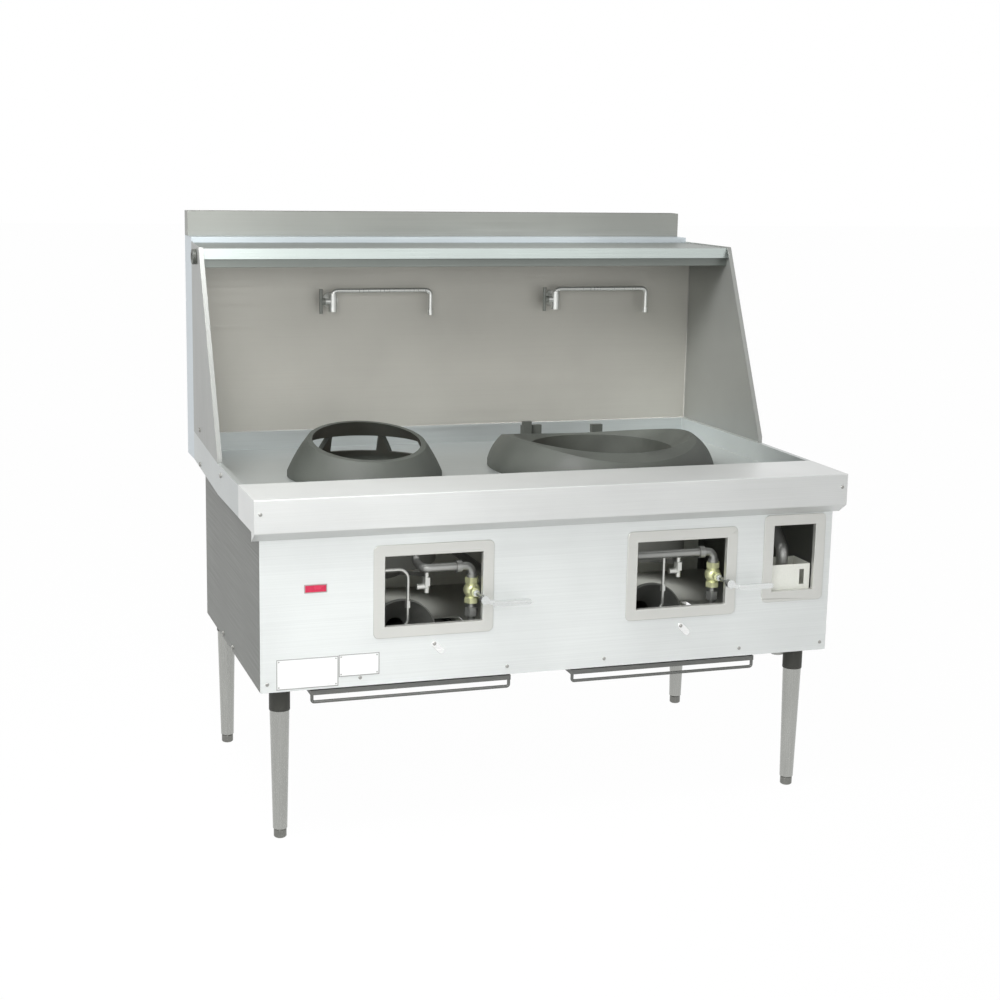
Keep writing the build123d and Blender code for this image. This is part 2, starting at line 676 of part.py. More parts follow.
def pipe_shelf():
    """Shelf over the water pipe, with a stepped front edge."""
    step = (SHELF_FRONT + SHELF_SETBACK, SHELF_TOP - SHELF_FACE)
    line = [(FLUE_FRONT, SHELF_TOP), (SHELF_FRONT, SHELF_TOP), (SHELF_FRONT, step[1]), step]
    line += [(step[0], step[1] - SHELF_LIP), (step[0] + SHELF_RETURN, step[1] - SHELF_LIP)]
    return folded_sheet(line, (-TOP_HALF, TOP_HALF)) - outside_guards()


def flue_box():
    """Upright flue duct behind the backsplash, open to the plenum below and the riser above."""
    box = hollow_box((-REAR_HALF, REAR_HALF), (FLUE_FRONT, FLUE_BACK), (SKIRT_BOTTOM, FLUE_TOP))
    duct_y = (FLUE_FRONT + SHEET, FLUE_BACK - SHEET)
    half = PLENUM_WIDTH / 2 - SHEET
    box -= block((-half, half), duct_y, (SKIRT_BOTTOM - 1, SKIRT_BOTTOM + SHEET + 1))
    half = REAR_HALF - SHEET
    box -= block((-half, half), (RISER_FRONT + SHEET, FLUE_BACK - SHEET),
                 (FLUE_TOP - SHEET - 1, FLUE_TOP + 1))
    return box


def flue_plenum():
    """Box behind the cabinet that gathers the two chamber ducts under the flue."""
    half = PLENUM_WIDTH / 2
    box = hollow_box((-half, half), (CABINET_DEPTH, FLUE_BACK), (PLENUM_BOTTOM, SKIRT_BOTTOM))
    box -= block((-half + SHEET, half - SHEET), (FLUE_FRONT + SHEET, FLUE_BACK - SHEET),
                 (SKIRT_BOTTOM - SHEET - 1, SKIRT_BOTTOM + 1))
    for x in WOK_X:
        box -= block((x - DUCT_WIDTH / 2, x + DUCT_WIDTH / 2),
                     (CABINET_DEPTH - 1, CABINET_DEPTH + SHEET + 1),
                     (DUCT_BOTTOM, DUCT_BOTTOM + DUCT_HEIGHT))
    return box


def flue_riser():
    """Open-topped outlet on the flue box."""
    half = REAR_HALF
    outside = block((-half, half), (RISER_FRONT, FLUE_BACK), (FLUE_TOP, RISER_TOP))
    inside = block((-half + SHEET, half - SHEET), (RISER_FRONT + SHEET, FLUE_BACK - SHEET),
                   (FLUE_TOP - 1, RISER_TOP + 1))
    return outside - inside


# ---- Fire chambers, burners and wok rings --------------------------------------------------


def duct_block(side, wall):
    """The space of a chamber's duct, with its wall or without."""
    x = WOK_X[side]
    half = DUCT_WIDTH / 2 - wall
    return block((x - half, x + half), (WOK_Y, CABINET_DEPTH),
                 (DUCT_BOTTOM + wall, DUCT_BOTTOM + DUCT_HEIGHT - wall))


def fire_chamber(side):
    """Steel drum hung under a wok hole, with a bottom lip and a duct to the plenum."""
    x, outer = WOK_X[side], DRUM_RADIUS[side]
    inner = outer - DRUM_WALL
    top = DECK_FLOOR - SHEET
    drum = round_z(x, WOK_Y, (DRUM_BOTTOM, top), outer) + duct_block(side, 0)
    drum -= round_z(x, WOK_Y, (DRUM_BOTTOM + DRUM_WALL, top + 1), inner)
    drum -= round_z(x, WOK_Y, (DRUM_BOTTOM - 1, top), inner - DRUM_LIP)
    inside_duct = block((x - DUCT_WIDTH / 2 + SHEET, x + DUCT_WIDTH / 2 - SHEET),
                        (WOK_Y, CABINET_DEPTH + 1),
                        (DUCT_BOTTOM + SHEET, DUCT_BOTTOM + DUCT_HEIGHT - SHEET))
    return drum - inside_duct


def chamber_lining(side):
    """Firebrick ring inside a drum, notched at the back for the flue."""
    x, inner = WOK_X[side], FIRE_RADIUS[side]
    span = (DRUM_BOTTOM + DRUM_WALL, RING_BASE - RING_SKIRT_DEPTH - RING_SKIRT_GAP)
    ring = round_z(x, WOK_Y, span, inner + LINING_WALL)
    ring -= round_z(x, WOK_Y, (span[0] - 1, span[1] + 1), inner)
    return ring - duct_block(side, SHEET)


def burner(side):
    """Cast burner: a disc of upright jets on three arms, and a venturi with a bell mouth."""
    x = WOK_X[side]
    base = BURNER_TOP - BURNER_THICKNESS
    casting = round_z(x, WOK_Y, (base, BURNER_TOP), BURNER_RADIUS)
    arm_end = DRUM_RADIUS[side] - DRUM_WALL - DRUM_LIP / 2
    for angle in (90, 210, 330):
        width = (-BURNER_ARM_HALF, BURNER_ARM_HALF)
        arm = block((0, arm_end), width, (base, base + BURNER_ARM_HEIGHT))
        arm += block((arm_end - BURNER_ARM_HEIGHT, arm_end), width, (base, DRUM_BOTTOM))
        casting += Pos(x, WOK_Y, 0) * Rot(0, 0, angle) * arm
    for ring_radius, count in JET_RINGS:
        for i in range(count):
            turn = radians(360 * i / count)
            casting += round_z(x + ring_radius * cos(turn), WOK_Y + ring_radius * sin(turn),
                               (BURNER_TOP, BURNER_TOP + JET_HEIGHT), JET_RADIUS)
    casting += round_z(x, WOK_Y, (VENTURI_Z, base), VENTURI_RADIUS)
    casting += Pos(x, WOK_Y, VENTURI_Z) * Sphere(VENTURI_RADIUS)
    casting += round_y(x, (BELL_FRONT + BELL_DEPTH, WOK_Y), VENTURI_Z, VENTURI_RADIUS)
    bell = [(0, 0), (BELL_RADIUS, 0), (BELL_RADIUS, BELL_RIM), (VENTURI_RADIUS, BELL_DEPTH),
            (0, BELL_DEPTH)]
    mouth = BELL_RADIUS - VENTURI_WALL
    hollow = [(0, -1), (mouth, -1), (mouth, BELL_RIM - 2),
              (VENTURI_RADIUS - VENTURI_WALL, BELL_DEPTH), (0, BELL_DEPTH)]
    lay = Pos(x, BELL_FRONT, VENTURI_Z) * Rot(-90, 0, 0)
    casting += lay * turned(bell, 0, 0)
    casting -= lay * turned(hollow, 0, 0)
    return casting - round_y(x, (BELL_FRONT + BELL_DEPTH - 1, WOK_Y - VENTURI_RADIUS),
                             VENTURI_Z, VENTURI_RADIUS - VENTURI_WALL)


def dome_face(foot, waist, crown, shift=0.0):
    """Half section of a dome: up a short foot, then along an arc through waist to crown."""
    low, high = (foot[0] - shift, foot[1]), (crown[0] - shift, crown[1])
    middle = (waist[0] - shift, waist[1] - shift / 2)
    base = -shift
    return Plane.XZ * make_face([
        Line((0, base), (low[0], base)), Line((low[0], base), low),
        ThreePointArc(low, middle, high), Line(high, (0, high[1])), Line((0, high[1]), (0, base))])


def ring_seat(side, outer, inner):
    """Flat foot of a wok ring and the skirt below it that locates in the wok hole."""
    skirt = DRUM_RADIUS[side] - DRUM_WALL - RING_SKIRT_GAP
    seat = round_z(0, 0, (0, RING_SEAT), outer) - round_z(0, 0, (-1, RING_SEAT + 1), inner)
    locating = round_z(0, 0, (-RING_SKIRT_DEPTH, RING_SEAT), skirt)
    return seat + (locating - round_z(0, 0, (-RING_SKIRT_DEPTH - 1, RING_SEAT + 1),
                                      skirt - RING_WALL))


def small_ring():
    """Domed cast ring with a raked rim, low in front, and flue windows in its high back."""
    foot = (SMALL_RING_RADIUS, SMALL_RING_FOOT)
    waist = (SMALL_RING_WAIST_RADIUS, SMALL_RING_WAIST_HEIGHT)
    crown = (SMALL_RING_CROWN_RADIUS, SMALL_RING_CROWN_HEIGHT)
    ring = revolve(dome_face(foot, waist, crown), axis=Axis.Z)
    ring -= revolve(dome_face(foot, waist, crown, RING_WALL), axis=Axis.Z)
    reach = 2 * SMALL_RING_RADIUS
    fall = reach * SMALL_RING_RAKE
    above = [(-reach, SMALL_RING_MIDDLE - fall), (reach, SMALL_RING_MIDDLE + fall),
             (reach, 2 * reach), (-reach, 2 * reach)]
    ring -= side_plate(above, (-reach, reach))
    for turn in RING_WINDOW_TURNS:
        window = block((crown[0] / 2, reach), (-RING_WINDOW_WIDTH / 2, RING_WINDOW_WIDTH / 2),
                       (RING_WINDOW_SILL, RING_WINDOW_SILL + RING_WINDOW_HEIGHT))
        ring -= Rot(0, 0, 90 + turn) * window
    inner = DRUM_RADIUS[0] - DRUM_WALL - RING_SKIRT_GAP - RING_WALL
    ring += ring_seat(0, SMALL_RING_RADIUS - RING_WALL / 2, inner)
    return Pos(WOK_X[0], WOK_Y, RING_BASE) * ring


def large_ring():
    """Broad low cast ring, humped at the sides, with lugs at the back."""
    foot = (LARGE_RING_RADIUS, LARGE_RING_FOOT)
    waist = (LARGE_RING_WAIST_RADIUS, LARGE_RING_WAIST_HEIGHT)
    crown = (LARGE_RING_CROWN_RADIUS, LARGE_RING_CROWN_HEIGHT)
    opening = FIRE_RADIUS[1]
    under = opening + RING_WALL
    ring = revolve(dome_face(foot, waist, crown), axis=Axis.Z)
    funnel = [(0, LARGE_RING_LIP), (opening, LARGE_RING_LIP), (crown[0] - RING_WALL, crown[1]),
              (crown[0] - RING_WALL, crown[1] + 1), (0, crown[1] + 1)]
    ring -= turned(funnel, 0, 0)
    hollow = revolve(dome_face(foot, waist, crown, RING_WALL), axis=Axis.Z)
    below = [(under, -RING_WALL - 1), (crown[0] + RING_WALL, -RING_WALL - 1),
             (LARGE_RING_RADIUS, -RING_WALL - 1), (LARGE_RING_RADIUS, crown[1] - 2 * RING_WALL),
             (crown[0] - RING_WALL, crown[1] - 1.5 * RING_WALL), (under, LARGE_RING_LIP - RING_WALL)]
    hollow = hollow & turned(below, 0, 0)
    saddle = LARGE_RING_SADDLE
    axis = (-LARGE_RING_SADDLE_SHIFT, crown[1] - saddle)
    span = (-LARGE_RING_RADIUS - 1, LARGE_RING_RADIUS + 1)
    ring = ring & round_x(span, axis[0], axis[1], saddle)
    ring -= hollow & round_x(span, axis[0], axis[1], saddle - RING_WALL)
    for x, width, top in LUGS:
        y = sqrt(LUG_RADIUS ** 2 - x ** 2)
        ring += block((x - width / 2, x + width / 2), (y - LUG_THICKNESS, y), (LUG_BOTTOM, top))
    ring += ring_seat(1, DRUM_RADIUS[1] - DRUM_WALL - RING_SKIRT_GAP, opening + RING_WALL / 2)
    ring -= round_z(0, 0, (-RING_SKIRT_DEPTH - 1, crown[1] + 1), opening)
    return Pos(WOK_X[1], WOK_Y, RING_BASE) * ring


# ---- Gas line ------------------------------------------------------------------------------


def gas_manifold():
    """Main gas pipe high behind the panel, returned to each window, with its rear inlet."""
    valve_top = VALVE_Z + VALVE_HEIGHT / 2
    route = [(VALVE_X[0], GAS_Y, valve_top), (VALVE_X[0], GAS_Y, GAS_Z)]
    route += [(GAS_RETURN_X[0], GAS_Y, GAS_Z), (GAS_RETURN_X[0], GAS_MAIN_Y, GAS_Z)]
    route += [(GAS_RETURN_X[0], GAS_MAIN_Y, GAS_MAIN_Z), (GAS_RETURN_X[1], GAS_MAIN_Y, GAS_MAIN_Z)]
    route += [(GAS_RETURN_X[1], GAS_MAIN_Y, GAS_Z), (GAS_RETURN_X[1], GAS_Y, GAS_Z)]
    route += [(VALVE_X[1], GAS_Y, GAS_Z), (VALVE_X[1], GAS_Y, valve_top)]
    pipe = bent_pipe(route, GAS_RADIUS, GAS_BEND)
    for x in VALVE_X:
        coupling = x - GAS_COUPLING_OFFSET
        pipe += round_x((coupling - GAS_COUPLING_WIDTH / 2, coupling + GAS_COUPLING_WIDTH / 2),
                        GAS_Y, GAS_Z, GAS_COUPLING_RADIUS)
        pipe += round_z(x, GAS_Y, (valve_top, valve_top + GAS_UNION_HEIGHT), GAS_UNION_RADIUS)
    end = CABINET_DEPTH + GAS_INLET_REACH
    inlet = [(GAS_INLET_X, GAS_MAIN_Y, GAS_MAIN_Z), (GAS_INLET_X, GAS_MAIN_Y, GAS_INLET_Z),
             (GAS_INLET_X, end, GAS_INLET_Z)]
    pipe += bent_pipe(inlet, GAS_INLET_RADIUS - GAS_THREAD_DEPTH, 2 * GAS_BEND)
    pipe += round_y(GAS_INLET_X, (CABINET_DEPTH, end), GAS_INLET_Z, GAS_INLET_RADIUS)
    tee = (GAS_INLET_X - GAS_TEE_WIDTH / 2, GAS_INLET_X + GAS_TEE_WIDTH / 2)
    return pipe + round_x(tee, GAS_MAIN_Y, GAS_MAIN_Z, GAS_TEE_RADIUS)


def ball_valve(side):
    """Brass quarter-turn valve body with hexagon ends, a stem boss and its packing bore."""
    x = VALVE_X[side]
    top, bottom = VALVE_Z + VALVE_HEIGHT / 2, VALVE_Z - VALVE_HEIGHT / 2
    body = nut_z(x, GAS_Y, (top - VALVE_NUT_HEIGHT, top), VALVE_NUT_ACROSS)
    body += nut_z(x, GAS_Y, (bottom, bottom + VALVE_NUT_HEIGHT), VALVE_NUT_ACROSS)
    body += Pos(x, GAS_Y, VALVE_Z) * Sphere(VALVE_BALL_RADIUS)
    body += round_z(x, GAS_Y, (bottom + 1, top - 1), VALVE_BARREL_RADIUS)
    body += round_y(x, (GAS_Y - VALVE_BOSS_REACH, GAS_Y), VALVE_Z, VALVE_BOSS_RADIUS)
    bore = (GAS_Y - VALVE_BOSS_REACH - 1, GAS_Y - STEM_DEPTH)
    return body - round_y(x, bore, VALVE_Z, STEM_RADIUS + RUNNING_FIT)


def valve_lever(side):
    """Long stem and flat lever of a valve, brought out in front of the panel."""
    x = VALVE_X[side]
    hub = (LEVER_Y - LEVER_HUB_WIDTH / 2 - 1, LEVER_Y + LEVER_HUB_WIDTH / 2 - 1)
    collar = GAS_Y - VALVE_BOSS_REACH - CLEARANCE
    lever = round_y(x, (LEVER_Y, GAS_Y - STEM_DEPTH - CLEARANCE), VALVE_Z, STEM_RADIUS)
    lever += round_y(x, hub, VALVE_Z, LEVER_HUB_RADIUS)
    lever += round_y(x, (collar - STEM_COLLAR_WIDTH, collar), VALVE_Z, STEM_COLLAR_RADIUS)
    z = VALVE_Z - LEVER_DROP
    half_neck = LEVER_HEIGHT / 2 - 1
    outline = [(x, VALVE_Z + half_neck), (x + LEVER_NECK, z + half_neck),
               (x + LEVER_NECK, z - half_neck), (x, VALVE_Z - half_neck)]
    neck = Plane.XZ.offset(-LEVER_Y) * make_face(Polyline(*outline, close=True))
    lever += extrude(neck, amount=LEVER_THICKNESS, dir=(0, -1, 0))
    middle = x + (LEVER_NECK + LEVER_LENGTH) / 2
    grip = Plane.XZ.offset(-LEVER_Y) * Pos(middle, z) * SlotOverall(
        LEVER_LENGTH - LEVER_NECK + LEVER_HEIGHT / 2, LEVER_HEIGHT)
    return lever + extrude(grip, amount=LEVER_THICKNESS + SHEET, dir=(0, -1, 0))


def burner_supply(side):
    """Pipe from a valve down past its union and across into the bell of the venturi."""
    x, bottom = VALVE_X[side], VALVE_Z - VALVE_HEIGHT / 2
    jet_end = BELL_FRONT + SUPPLY_REACH
    route = [(x, GAS_Y, bottom), (x, GAS_Y, VENTURI_Z), (WOK_X[side], GAS_Y, VENTURI_Z),
             (WOK_X[side], jet_end, VENTURI_Z)]
    pipe = bent_pipe(route, SUPPLY_RADIUS, SUPPLY_BEND)
    union = bottom - SUPPLY_JET_LENGTH
    pipe += nut_z(x, GAS_Y, (union - SUPPLY_UNION_HEIGHT, union), SUPPLY_UNION_ACROSS)
    return pipe + round_y(WOK_X[side], (jet_end, jet_end + SUPPLY_JET_LENGTH), VENTURI_Z,
                          SUPPLY_JET_RADIUS)


def pilot_valves():
    """Small needle valves hung from the gas pipe, one to each burner."""
    valves = []
    for x in PILOT_VALVE_X:
        top = GAS_Z - GAS_RADIUS
        nut, nose = top - PILOT_NECK_LENGTH, top - PILOT_NECK_LENGTH - PILOT_NUT_HEIGHT
        valve = round_z(x, GAS_Y, (nut, top), PILOT_NECK_RADIUS)
        valve += nut_z(x, GAS_Y, (nose, nut), PILOT_NUT_ACROSS)
        valve += round_z(x, GAS_Y, (nose - PILOT_NOSE_LENGTH, nose), PILOT_NOSE_RADIUS)
        valve += round_x((x - PILOT_KNOB_REACH, x), GAS_Y, nose - PILOT_KNOB_DROP, PILOT_KNOB_RADIUS)
        valves.append(valve)
    return Compound(valves)


def pilot_tube(side):
    """Aluminium pilot tube, down past the bell mouth, back beside it and up to the burner."""
    x, y = PILOT_TUBE_X[side], GAS_Y
    tip = (WOK_X[side] + PILOT_TIP[0], WOK_Y + PILOT_TIP[1])
    route = [(x, y, GAS_Z - GAS_RADIUS)]
    if side == 0:
        start = (GAS_RETURN_X[0] - GAS_RADIUS - CLEARANCE, GAS_MAIN_Y, GAS_Z + GAS_RADIUS * 2)
        far = x - PILOT_TUBE_LOOP
        route = [start, (far, GAS_MAIN_Y, start[2]), (far, y, GAS_Z), (x, y, GAS_Z)]
    route += [(x, y, PILOT_TUBE_Z), (tip[0], y, PILOT_TUBE_Z), (tip[0], tip[1], PILOT_TUBE_Z),
              (tip[0], tip[1], PILOT_TIP[2])]
    tube = bent_pipe(route, PILOT_TUBE_RADIUS, PILOT_TUBE_BEND)
    union = GAS_Z - PILOT_UNION_DROP
    return tube + nut_z(x, y, (union - PILOT_UNION_HEIGHT, union), PILOT_UNION_ACROSS)


# ---- Water ---------------------------------------------------------------------------------


def water_pipe():
    """Water pipe under the shelf, with a branch behind the backsplash to each tap."""
    gap_y = (DECK_BACK + FLUE_FRONT) / 2
    start = side_half(WATER_Y + WATER_RADIUS, WATER_Z)
    pipe = round_x((-start, TAP_X[1] + WATER_END), WATER_Y, WATER_Z, WATER_RADIUS - RUNNING_FIT)
    for x in TAP_X:
        route = [(x, WATER_Y, WATER_Z), (x, gap_y, WATER_Z), (x, gap_y, TAP_Z),
                 (x, DECK_BACK - SHEET, TAP_Z)]
        pipe += bent_pipe(route, TAP_BRANCH_RADIUS, WATER_BEND)
    return pipe


def water_inlet():
    """Black inlet coupling, cut to lie on the left guard's outer face."""
    half = side_half(WATER_Y, WATER_Z)
    run = (-half - INLET_REACH, INLET_REACH - half)
    coupling = round_x(run, WATER_Y, WATER_Z, INLET_RADIUS)
    coupling -= round_x((run[0] - 1, run[1] + 1), WATER_Y, WATER_Z, INLET_BORE)
    return coupling - mirror(guard_sheet(3 * INLET_REACH), about=Plane.YZ)


def tap_body(side):
    """Wall flange, shank, upright seat for the spout and side boss for the handle."""
    x, wall = TAP_X[side], DECK_BACK - SHEET
    end = x - TAP_BOSS_REACH
    body = round_y(x, (wall - TAP_FLANGE_THICKNESS, wall), TAP_Z, TAP_FLANGE_RADIUS)
    body += round_y(x, (TAP_Y, wall), TAP_Z, TAP_BODY_RADIUS)
    body += round_z(x, TAP_Y, (TAP_Z - TAP_TAIL, SPOUT_SEAT), TAP_BODY_RADIUS)
    body += round_x((end, x), TAP_Y, TAP_Z, TAP_BOSS_RADIUS)
    body -= round_z(x, TAP_Y, (SPOUT_SEAT - SPOUT_SOCKET, SPOUT_SEAT + 1), SPOUT_RADIUS + RUNNING_FIT)
    return body - round_x((end - 1, end + SPINDLE_DEPTH), TAP_Y, TAP_Z, SPINDLE_RADIUS + RUNNING_FIT)


def spout(side):
    """Swing spout: up from its seat, along and down, with a collar and an outlet tip."""
    x, top = TAP_X[side], SPOUT_SEAT + SPOUT_RISE
    end = x + SPOUT_LENGTH
    foot = SPOUT_SEAT - SPOUT_SOCKET + CLEARANCE
    route = [(x, TAP_Y, foot), (x, TAP_Y, top), (end, TAP_Y, top), (end, TAP_Y, top - SPOUT_DROP)]
    pipe = bent_pipe(route, SPOUT_RADIUS, SPOUT_BEND)
    pipe += round_z(x, TAP_Y, (SPOUT_SEAT + CLEARANCE, SPOUT_SEAT + SPOUT_COLLAR_HEIGHT),
                    SPOUT_COLLAR_RADIUS)
    tip = top - SPOUT_DROP
    return pipe + round_z(end, TAP_Y, (tip, tip + SPOUT_TIP_HEIGHT), SPOUT_TIP_RADIUS)


def tap_handle(side):
    """Bar handle on a spindle at the left of a tap."""
    x = TAP_X[side] - TAP_BOSS_REACH - CLEARANCE
    bar = (TAP_Z - TAP_BAR_LENGTH / 2, TAP_Z + TAP_BAR_LENGTH / 2)
    handle = round_x((x - TAP_HUB_WIDTH, x + SPINDLE_DEPTH - CLEARANCE), TAP_Y, TAP_Z,
                     SPINDLE_RADIUS)
    handle += round_x((x - TAP_HUB_WIDTH, x), TAP_Y, TAP_Z, TAP_HUB_RADIUS)
    return handle + round_z(x - TAP_HUB_WIDTH, TAP_Y, bar, TAP_BAR_RADIUS)


# ---- Legs, trays, covers, plates and fasteners ---------------------------------------------


def leg_sockets():
    """Dark sleeves with plates, welded under the frame rails."""
    sockets = []
    for x, y in CORNERS.values():
        socket = round_z(x, y, (SOCKET_BOTTOM, FRAME_BOTTOM), SOCKET_RADIUS)
        socket -= round_z(x, y, (SOCKET_BOTTOM - 1, FRAME_BOTTOM - LEG_CAP), LEG_RADIUS + RUNNING_FIT)
        sockets.append(socket)
    return Compound(sockets)


def legs():
    """Tapered stainless tubes with a threaded plug at the bottom."""
    top, taper_top = FRAME_BOTTOM - LEG_CAP, SOCKET_BOTTOM
    plug_top = FOOT_HEIGHT + LEG_PLUG
    pieces = []
    for x, y in CORNERS.values():
        outside = [(0, FOOT_HEIGHT + CLEARANCE), (LEG_TAPER_RADIUS, FOOT_HEIGHT + CLEARANCE),
                   (LEG_RADIUS, taper_top), (LEG_RADIUS, top), (0, top)]
        inside = [(0, plug_top), (LEG_TAPER_RADIUS - LEG_WALL, plug_top),
                  (LEG_RADIUS - LEG_WALL, taper_top), (LEG_RADIUS - LEG_WALL, top + 1),
                  (0, top + 1)]
        leg = turned(outside, x, y) - turned(inside, x, y)
        pieces.append(leg - round_z(x, y, (0, plug_top + 1), FOOT_SCREW_RADIUS + RUNNING_FIT))
    return Compound(pieces)


def foot(x, y):
    """Bullet foot on a screw that runs in the leg's plug."""
    ease = FOOT_EASE
    profile = [(0, 0), (FOOT_RADIUS - ease, 0), (FOOT_RADIUS, ease),
               (FOOT_RADIUS, FOOT_HEIGHT - ease), (FOOT_RADIUS - ease, FOOT_HEIGHT),
               (FOOT_SCREW_RADIUS, FOOT_HEIGHT),
               (FOOT_SCREW_RADIUS, FOOT_HEIGHT + FOOT_SCREW_LENGTH),
               (0, FOOT_HEIGHT + FOOT_SCREW_LENGTH)]
    return turned(profile, x, y)


def runner_lip():
    """Height of the top of the runners' lips, which carry the trays."""
    return FRAME_BOTTOM - RUNNER_DEPTH


def tray_runners():
    """Z-section runners under the frame, two to each drip tray."""
    runners = []
    span = (RUNNER_START, RUNNER_START + TRAY_DEPTH + TUBE / 2)
    for x in WOK_X:
        for sign in (-1, 1):
            edge = x + sign * (TRAY_WIDTH / 2 + TRAY_FLANGE + CLEARANCE)
            lip = runner_lip()
            runner = block((edge, edge + sign * SHEET), span, (lip - SHEET, FRAME_BOTTOM))
            runner += block((edge - sign * TRAY_FLANGE, edge), span, (lip - SHEET, lip))
            runner += block((edge, edge + sign * RUNNER_TOP_FLANGE), span,
                            (FRAME_BOTTOM - SHEET, FRAME_BOTTOM))
            runners.append(runner)
    return Compound(runners)


def drip_tray(side):
    """Shallow pan on side flanges, with a bent rod pull hung across its front."""
    x, half = WOK_X[side], TRAY_WIDTH / 2
    top = runner_lip() + CLEARANCE + SHEET
    y = (TRAY_SETBACK, TRAY_SETBACK + TRAY_DEPTH)
    pan = block((x - half, x + half), y, (top - TRAY_HEIGHT, top))
    pan -= block((x - half + SHEET, x + half - SHEET), (y[0] + SHEET, y[1] - SHEET),
                 (top - TRAY_HEIGHT + SHEET, top + 1))
    flange_y = (RUNNER_START, y[1])
    for sign in (-1, 1):
        pan += block((x + sign * half, x + sign * (half + TRAY_FLANGE)), flange_y,
                     (top - SHEET, top))
    low = top - TRAY_HEIGHT - TRAY_PULL_DROP + TRAY_PULL_RADIUS
    pull_y = y[0] + TRAY_PULL_RADIUS
    bar = half - TRAY_PULL_RADIUS
    start = top - TRAY_HEIGHT + SHEET
    route = [(x - bar, pull_y, start), (x - bar, pull_y, low), (x + bar, pull_y, low),
             (x + bar, pull_y, start)]
    return pan + bent_pipe(route, TRAY_PULL_RADIUS, 1.5 * TRAY_PULL_RADIUS)


def lighting_cover(side):
    """Oblong swivel cover over a lighting hole."""
    x = WINDOW_X[side] + COVER_OFFSET
    face = Plane.XZ * Pos(x, COVER_Z) * Rot(0, 0, COVER_TILT) * SlotOverall(
        COVER_LENGTH, COVER_WIDTH)
    plate = extrude(face, amount=SHEET, dir=(0, -1, 0)).moved(Location((0, -CLEARANCE, 0)))
    pivot_x, pivot_z = cover_pivot(side)
    return plate - round_y(pivot_x, (-10, 1), pivot_z, RIVET_RADIUS + RUNNING_FIT)


def cover_rivets():
    """Headed rivets that the lighting-hole covers swing on."""
    rivets = []
    for side in (0, 1):
        x, z = cover_pivot(side)
        head = -SHEET - 2 * CLEARANCE
        rivet = round_y(x, (head, SHEET + 2), z, RIVET_RADIUS)
        rivet += round_y(x, (head - 2, head), z, RIVET_RADIUS + 2)
        rivets.append(rivet + round_y(x, (SHEET, SHEET + 2), z, RIVET_RADIUS + 2))
    return rivets


def front_plate(inset, bottom, width, height):
    """A thin plate lying on the front panel."""
    left = inset - HALF
    return block((left, left + width), (-PLATE_THICKNESS, 0), (bottom, bottom + height))


def panel_screws():
    """Domed screw heads along the panel's bottom edge and at the rail's ends."""
    places = [(inset - HALF, 0, FACE_SCREW_Z) for inset in FACE_SCREWS_LEFT]
    places += [(HALF - inset, 0, FACE_SCREW_Z) for inset in FACE_SCREWS_RIGHT]
    edge = TOP_HALF - RAIL_SCREW_INSET
    places += [(x, RAIL_FRONT, DECK_TOP - RAIL_SCREW_DROP) for x in (-edge, edge)]
    return [round_y(x, (y - FACE_SCREW_HEAD, y), z, FACE_SCREW_RADIUS) for x, y, z in places]


def side_bolts():
    """Bolt heads on the cabinet sides, the deck's skirts and the guards' feet."""
    bolts = []
    rear = [(CABINET_DEPTH + REAR_BOLT_OVERHANG, z) for z in REAR_BOLT_HEIGHTS]
    for y, z in list(FRONT_BOLTS) + rear:
        half = HALF if z < SKIRT_BOTTOM else side_half(y - SIDE_BOLT_RADIUS, z)
        for sign in (-1, 1):
            bolts.append(round_x((sign * half, sign * (half + SIDE_BOLT_HEAD)), y, z,
                                 SIDE_BOLT_RADIUS))
    return bolts


def drain_box():
    """Open box on the back of the service window, which catches the deck's drain water."""
    x = SERVICE_X + DRAIN_BOX_SHIFT
    half = DRAIN_BOX_WIDTH / 2
    low = SERVICE_BOTTOM - DRAIN_BOX_DROP
    back = TRIM_LIP + DRAIN_BOX_DEPTH
    box = block((x - half, x + half), (TRIM_LIP, back), (low, DRAIN_BOX_TOP))
    box -= block((x - half + SHEET, x + half - SHEET), (TRIM_LIP + SHEET, back - SHEET),
                 (low + SHEET, DRAIN_BOX_TOP + 1))
    slot = block((x + half / 2, x + half / 2 + DRAIN_SLOT_WIDTH), (TRIM_LIP - 1, TRIM_LIP + SHEET + 1),
                 (SERVICE_BOTTOM + DRAIN_SLOT_WIDTH, DRAIN_BOX_TOP - DRAIN_SLOT_WIDTH))
    return box - slot


def drain_pipe():
    """Pipe from the deck's drain hole down into the drain box, and the box's outlet."""
    x = SERVICE_X + DRAIN_BOX_SHIFT
    y = TRIM_LIP + DRAIN_BOX_DEPTH / 2
    low = SERVICE_BOTTOM - DRAIN_BOX_DROP
    route = [(DRAIN_X, DRAIN_Y, DECK_FLOOR), (DRAIN_X, DRAIN_Y, DRAIN_BOX_TOP + DRAIN_BEND_HIGH),
             (x, y, DRAIN_BOX_TOP + DRAIN_BEND_LOW), (x, y, DRAIN_BOX_TOP - DRAIN_DIP)]
    upper = bent_pipe(route, DRAIN_PIPE_RADIUS - RUNNING_FIT, DRAIN_BEND)
    bore = bent_pipe(route, DRAIN_PIPE_RADIUS - SHEET, DRAIN_BEND)
    end = CABINET_BOTTOM - DRAIN_OUTLET_REACH
    lower = round_z(x, y, (end, low), DRAIN_PIPE_RADIUS)
    lower -= round_z(x, y, (end - 1, low + 1), DRAIN_PIPE_RADIUS - SHEET)
    return Compound([upper - bore, lower])


# ---- Assembly ------------------------------------------------------------------------------


